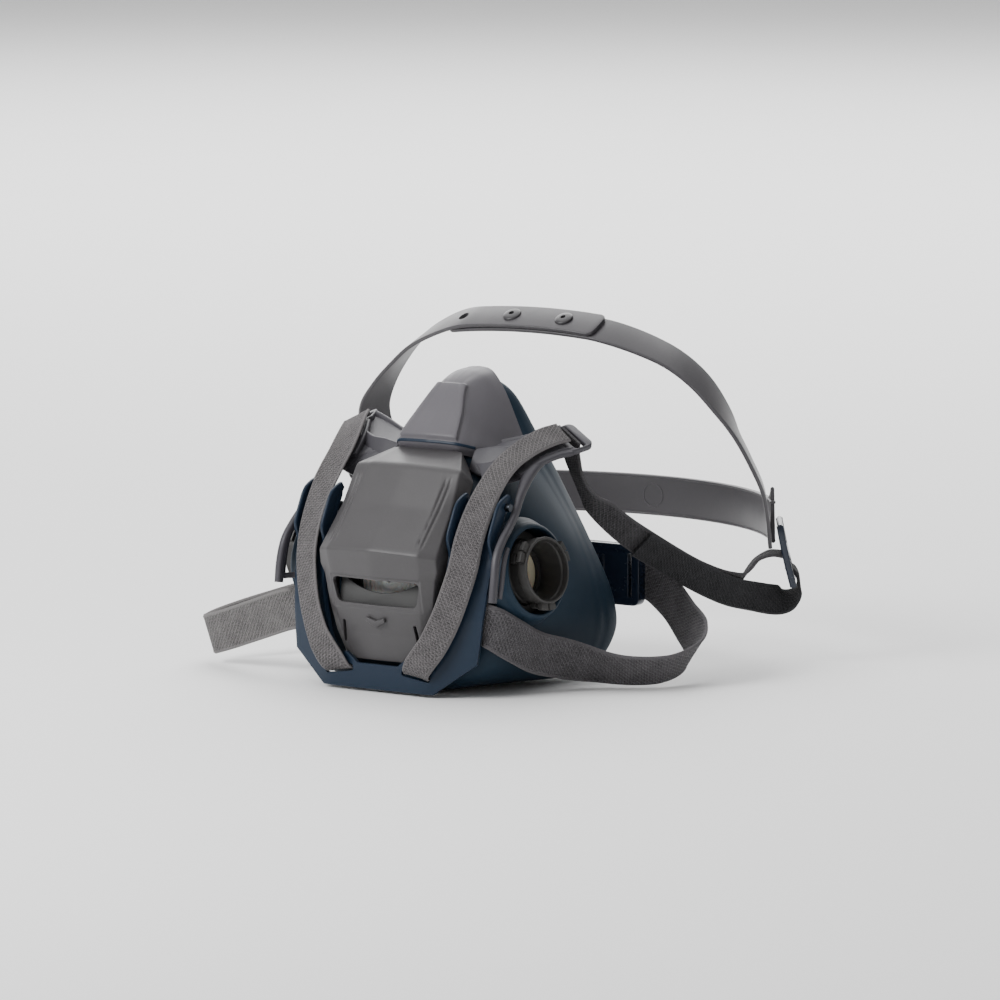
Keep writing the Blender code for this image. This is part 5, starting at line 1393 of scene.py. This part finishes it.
    def build(self, kit: Assembly) -> None:
        """Build the cradle with its layers, holes and snaps."""
        inner = self.layer("crown_inner", self.top(-38.0, 22.0, 0.0) + list(self.arm), Side.LEFT)
        lift = np.array((0.0, -0.5, 0.87))
        raised = [(tuple(np.array(centre) + lift * rise), across)
                  for (centre, across), rise in zip(self.arm, self.lifts)]
        outer = self.layer("crown_outer", self.top(-31.5, 22.0, self.thickness + 0.3) + raised, Side.RIGHT)
        for item in (inner, outer):
            settle(item, kit.finishes.cradle, 40)
            for x in self.holes + self.snaps:
                tool = lathe("snap_hole", np.array(((0.01, -8.0), (self.hole_radius, -8.0),
                                                    (self.hole_radius, 8.0), (0.01, 8.0))),
                             self.crown_point(x), self.crown_normal, 40)
                cut(item, tool)
        pieces = [self.band()] + self.rims() + [inner, outer]
        for item in pieces:
            settle(item, kit.finishes.cradle, 40)
        kit.hang(join("head_cradle_shape", pieces), Body.HARNESS, "head_cradle")
        for number, x in enumerate(self.snaps, 1):
            top = 1.5 * self.thickness + 0.5
            turn = np.linspace(0, math.pi / 2, 10)
            dome = np.stack([1.1 + 2.6 * np.cos(turn), top + 0.15 + 0.85 * np.sin(turn)], axis=1)
            profile = np.concatenate([
                np.array(((1.9, -1.1), (3.7, -1.1), (3.7, -1.9), (1.0, -1.9), (1.0, top + 0.3))),
                dome[::-1], np.array(((3.7, top - 0.15), (1.9, top - 0.15)))])
            stud = lathe(f"snap_dome_{number}", profile, self.crown_point(x), self.crown_normal, 72)
            kit.hang(settle(stud, kit.finishes.snap, 45), Body.HARNESS, f"crown_snap_{number}")


@dataclass
class CradleBuckle:
    """Glossy ladder-lock buckle below a junction: two rails joined by rounded bars."""

    side: Side
    centre: Point = (89.1, 119.4, 44.0)
    across: Point = (-0.55, 0.83, 0.06)
    down: Point = (0.02, 0.36, -0.93)
    rails: Tuple[float, float] = (-8.65, 8.65)
    bars: Tuple[Tuple[float, float], ...] = ((-11.8, 2.3), (-0.2, 4.6), (11.8, 2.3))

    def build(self, kit: Assembly) -> None:
        """Build the buckle."""
        mirror = np.array((self.side.value, 1, 1))
        across = unit(np.array(self.across)) * mirror
        down = np.array(self.down) * mirror
        down = unit(down - across * (down @ across))
        centre = np.array(self.centre) * mirror
        normal = np.cross(across, down)
        name = self.side.label
        pieces = []
        for number, place in enumerate(self.rails):
            way = np.linspace(-12.4, 12.4, 24)
            bow = 0.35 * np.cos(way / 12.4 * 1.5)
            centres = centre + across * place + down * way[:, None] + normal * bow[:, None]
            scale = np.stack([np.sqrt(np.clip(1 - (np.abs(way) / 13.0) ** 6, 0.3, 1)), np.ones(24)], axis=1)
            pieces.append(sweep(f"rail_{name}_{number}", centres, np.broadcast_to(across, centres.shape),
                                rounded_profile(2.7, 2.7, 0.8), scale))
        for number, (place, height) in enumerate(self.bars):
            middle = centre + down * place
            pieces.append(bar(f"ladder_{name}_{number}", middle - across * 9.2, middle + across * 9.2, down,
                              height, 2.1, 0.85))
        for item in pieces:
            settle(item, kit.finishes.buckle, 45)
        kit.hang(join(f"cradle_buckle_shape_{name}", pieces), Body.HARNESS, f"cradle_buckle_{name}")


# ---------------------------------------------------------------------------- kept CAD nodes

class KeptNodes:
    """Inner nodes that keep their CAD shape and take a procedural finish."""

    def __init__(self, finishes: Finishes) -> None:
        """Pair each node with its material."""
        self.table = {"center_adapter": finishes.adapter, "exhalation_valve_seat": finishes.adapter}
        for side in Side:
            self.table.update({
                f"inhalation_valve_seat_{side.label}": finishes.adapter,
                f"inhalation_valve_{side.label}": finishes.inhale,
                f"port_gasket_{side.label}": finishes.seal,
                f"latch_pin_{side.label}": finishes.pin})

    def build(self) -> None:
        """Give each kept node its finish."""
        for name, material in self.table.items():
            item = frame["nodes"].get(name)
            if item is None:
                LOG.warning("no CAD node called %s", name)
                continue
            for slot in item.material_slots:
                slot.link = "OBJECT"
                slot.material = material
            LOG.info("%s keeps its shape", name)


# ---------------------------------------------------------------------------- studio

@dataclass(frozen=True)
class Lamp:
    """Square area light: its way from the part is given as camera right, up and back shares."""

    name: str
    direction: Point
    power: float
    size: float
    distance: float = 1.1
    downwards: bool = False


@dataclass
class Studio:
    """Plain pale floor, soft light from the left and above, and the camera."""

    turn: float = math.radians(35.0)
    rise: float = math.radians(7.2)
    distance: float = 2400.0
    lens: float = 224.64
    aim: Point = (0.0, 0.0, 47.3)
    shift: Tuple[float, float] = (29.2, 23.0)
    fill: float = 0.40
    backdrop: float = 2.3
    floor_radius: float = 6.0
    floor_gap: float = 0.0005
    lit_point: Point = (10.0, 40.0, 55.0)
    lamps: Tuple[Lamp, ...] = (
        Lamp("key", (-0.90, 0.60, 0.62), 11.0, 0.5),
        Lamp("top", (-0.05, 1.0, -0.1), 17.0, 1.6, 1.5),
        Lamp("wash", (0.0, 0.62, -0.98), 90.0, 3.0, 2.9, downwards=True))

    def axes(self) -> Tuple[Array, Array, Array]:
        """Camera right, up and backward directions."""
        right = np.array((math.cos(self.turn), math.sin(self.turn), 0.0))
        back = np.array((math.sin(self.turn) * math.cos(self.rise), -math.cos(self.turn) * math.cos(self.rise),
                         math.sin(self.rise)))
        return right, np.cross(back, right), back

    def camera(self) -> None:
        """Place the camera."""
        right, upward, back = self.axes()
        target = np.array(self.aim) + right * self.shift[0] + upward * self.shift[1]
        place = LAYOUT.metres(target + back * self.distance)
        lens = bpy.data.cameras.new("camera")
        lens.lens = self.lens
        lens.sensor_width = 36.0
        lens.clip_end = 20.0
        made = bpy.data.objects.new("camera", lens)
        made.matrix_world = Matrix.Translation(Vector(place.tolist())) @ Matrix(
            (right.tolist(), upward.tolist(), back.tolist())).transposed().to_4x4()
        bpy.context.scene.collection.objects.link(made)
        bpy.context.scene.camera = made

    def light(self, lamp: Lamp) -> None:
        """Place one lamp, facing the part or straight down."""
        right, upward, back = self.axes()
        way = unit(lamp.direction[0] * right + lamp.direction[1] * upward + lamp.direction[2] * back)
        target = LAYOUT.metres(np.array(self.lit_point))
        area = bpy.data.lights.new(lamp.name, "AREA")
        area.energy = lamp.power
        area.size = lamp.size
        made = bpy.data.objects.new(lamp.name, area)
        facing = Vector((0.0, 0.0, 1.0)) if lamp.downwards else Vector(way.tolist())
        made.matrix_world = Matrix.Translation(Vector((target + way * lamp.distance).tolist())) \
            @ facing.to_track_quat("Z", "Y").to_matrix().to_4x4()
        bpy.context.scene.collection.objects.link(made)

    def world(self) -> None:
        """Dim surroundings with a bright backdrop beyond the part: strength rises with the
        direction's share along the view, from the dim fill to the backdrop."""
        _, _, back = self.axes()
        made = bpy.data.worlds.new("studio")
        made.use_nodes = True
        tree = made.node_tree
        background = tree.nodes["Background"]
        background.inputs["Color"].default_value = (1.0, 1.0, 1.0, 1.0)
        way = tree.nodes.new("ShaderNodeTexCoord")
        share = tree.nodes.new("ShaderNodeVectorMath")
        share.operation = "DOT_PRODUCT"
        share.inputs[1].default_value = (-back[0], -back[1], 0.0)
        ramp = tree.nodes.new("ShaderNodeMapRange")
        ramp.interpolation_type = "SMOOTHSTEP"
        for socket, value in (("From Min", 0.55), ("From Max", 0.93),
                              ("To Min", self.fill), ("To Max", self.backdrop)):
            ramp.inputs[socket].default_value = value
        tree.links.new(way.outputs["Generated"], share.inputs[0])
        tree.links.new(share.outputs["Value"], ramp.inputs["Value"])
        tree.links.new(ramp.outputs[0], background.inputs["Strength"])
        bpy.context.scene.world = made

    def floor(self) -> None:
        """Large pale disc just under the part."""
        turn = np.linspace(0, 2 * math.pi, 97)[:-1]
        ring = np.stack([self.floor_radius * np.cos(turn), self.floor_radius * np.sin(turn),
                         np.full_like(turn, -self.floor_gap)], axis=1)
        mesh = bpy.data.meshes.new("studio_floor")
        mesh.from_pydata(ring.tolist(), [], [list(range(len(ring)))])
        made = bpy.data.objects.new("studio_floor", mesh)
        bpy.context.scene.collection.objects.link(made)
        paint = Paint("pale_floor")
        tone = paint.noise(paint.coordinates(), 3.0)
        paint.drive("Base Color", paint.mix(tone, (0.93, 0.93, 0.93), (0.95, 0.95, 0.95)))
        paint.drive("Roughness", 0.9)
        mesh.materials.append(paint.made)

    def build(self) -> None:
        """Set up floor, surroundings, lights and camera."""
        self.world()
        self.floor()
        for lamp in self.lamps:
            self.light(lamp)
        self.camera()


def main() -> None:
    """Build every sub-assembly in order, then the studio."""
    logging.basicConfig(level=logging.INFO, format="%(name)s: %(message)s")
    finishes = Finishes()
    kit = Assembly(finishes)
    for part in (FaceSeal(), NoseShell(), ExhalationCover(), ExhalationValve(), QuickLatch()):
        part.build(kit)
    for side in Side:
        FilterPort(side).build(kit)
        FrameArm(side).build(kit)
        CradleBuckle(side).build(kit)
    Straps().build(kit)
    NeckClasp().build(kit)
    HeadCradle().build(kit)
    KeptNodes(finishes).build()
    Studio().build()


if __name__ == "__main__":
    main()
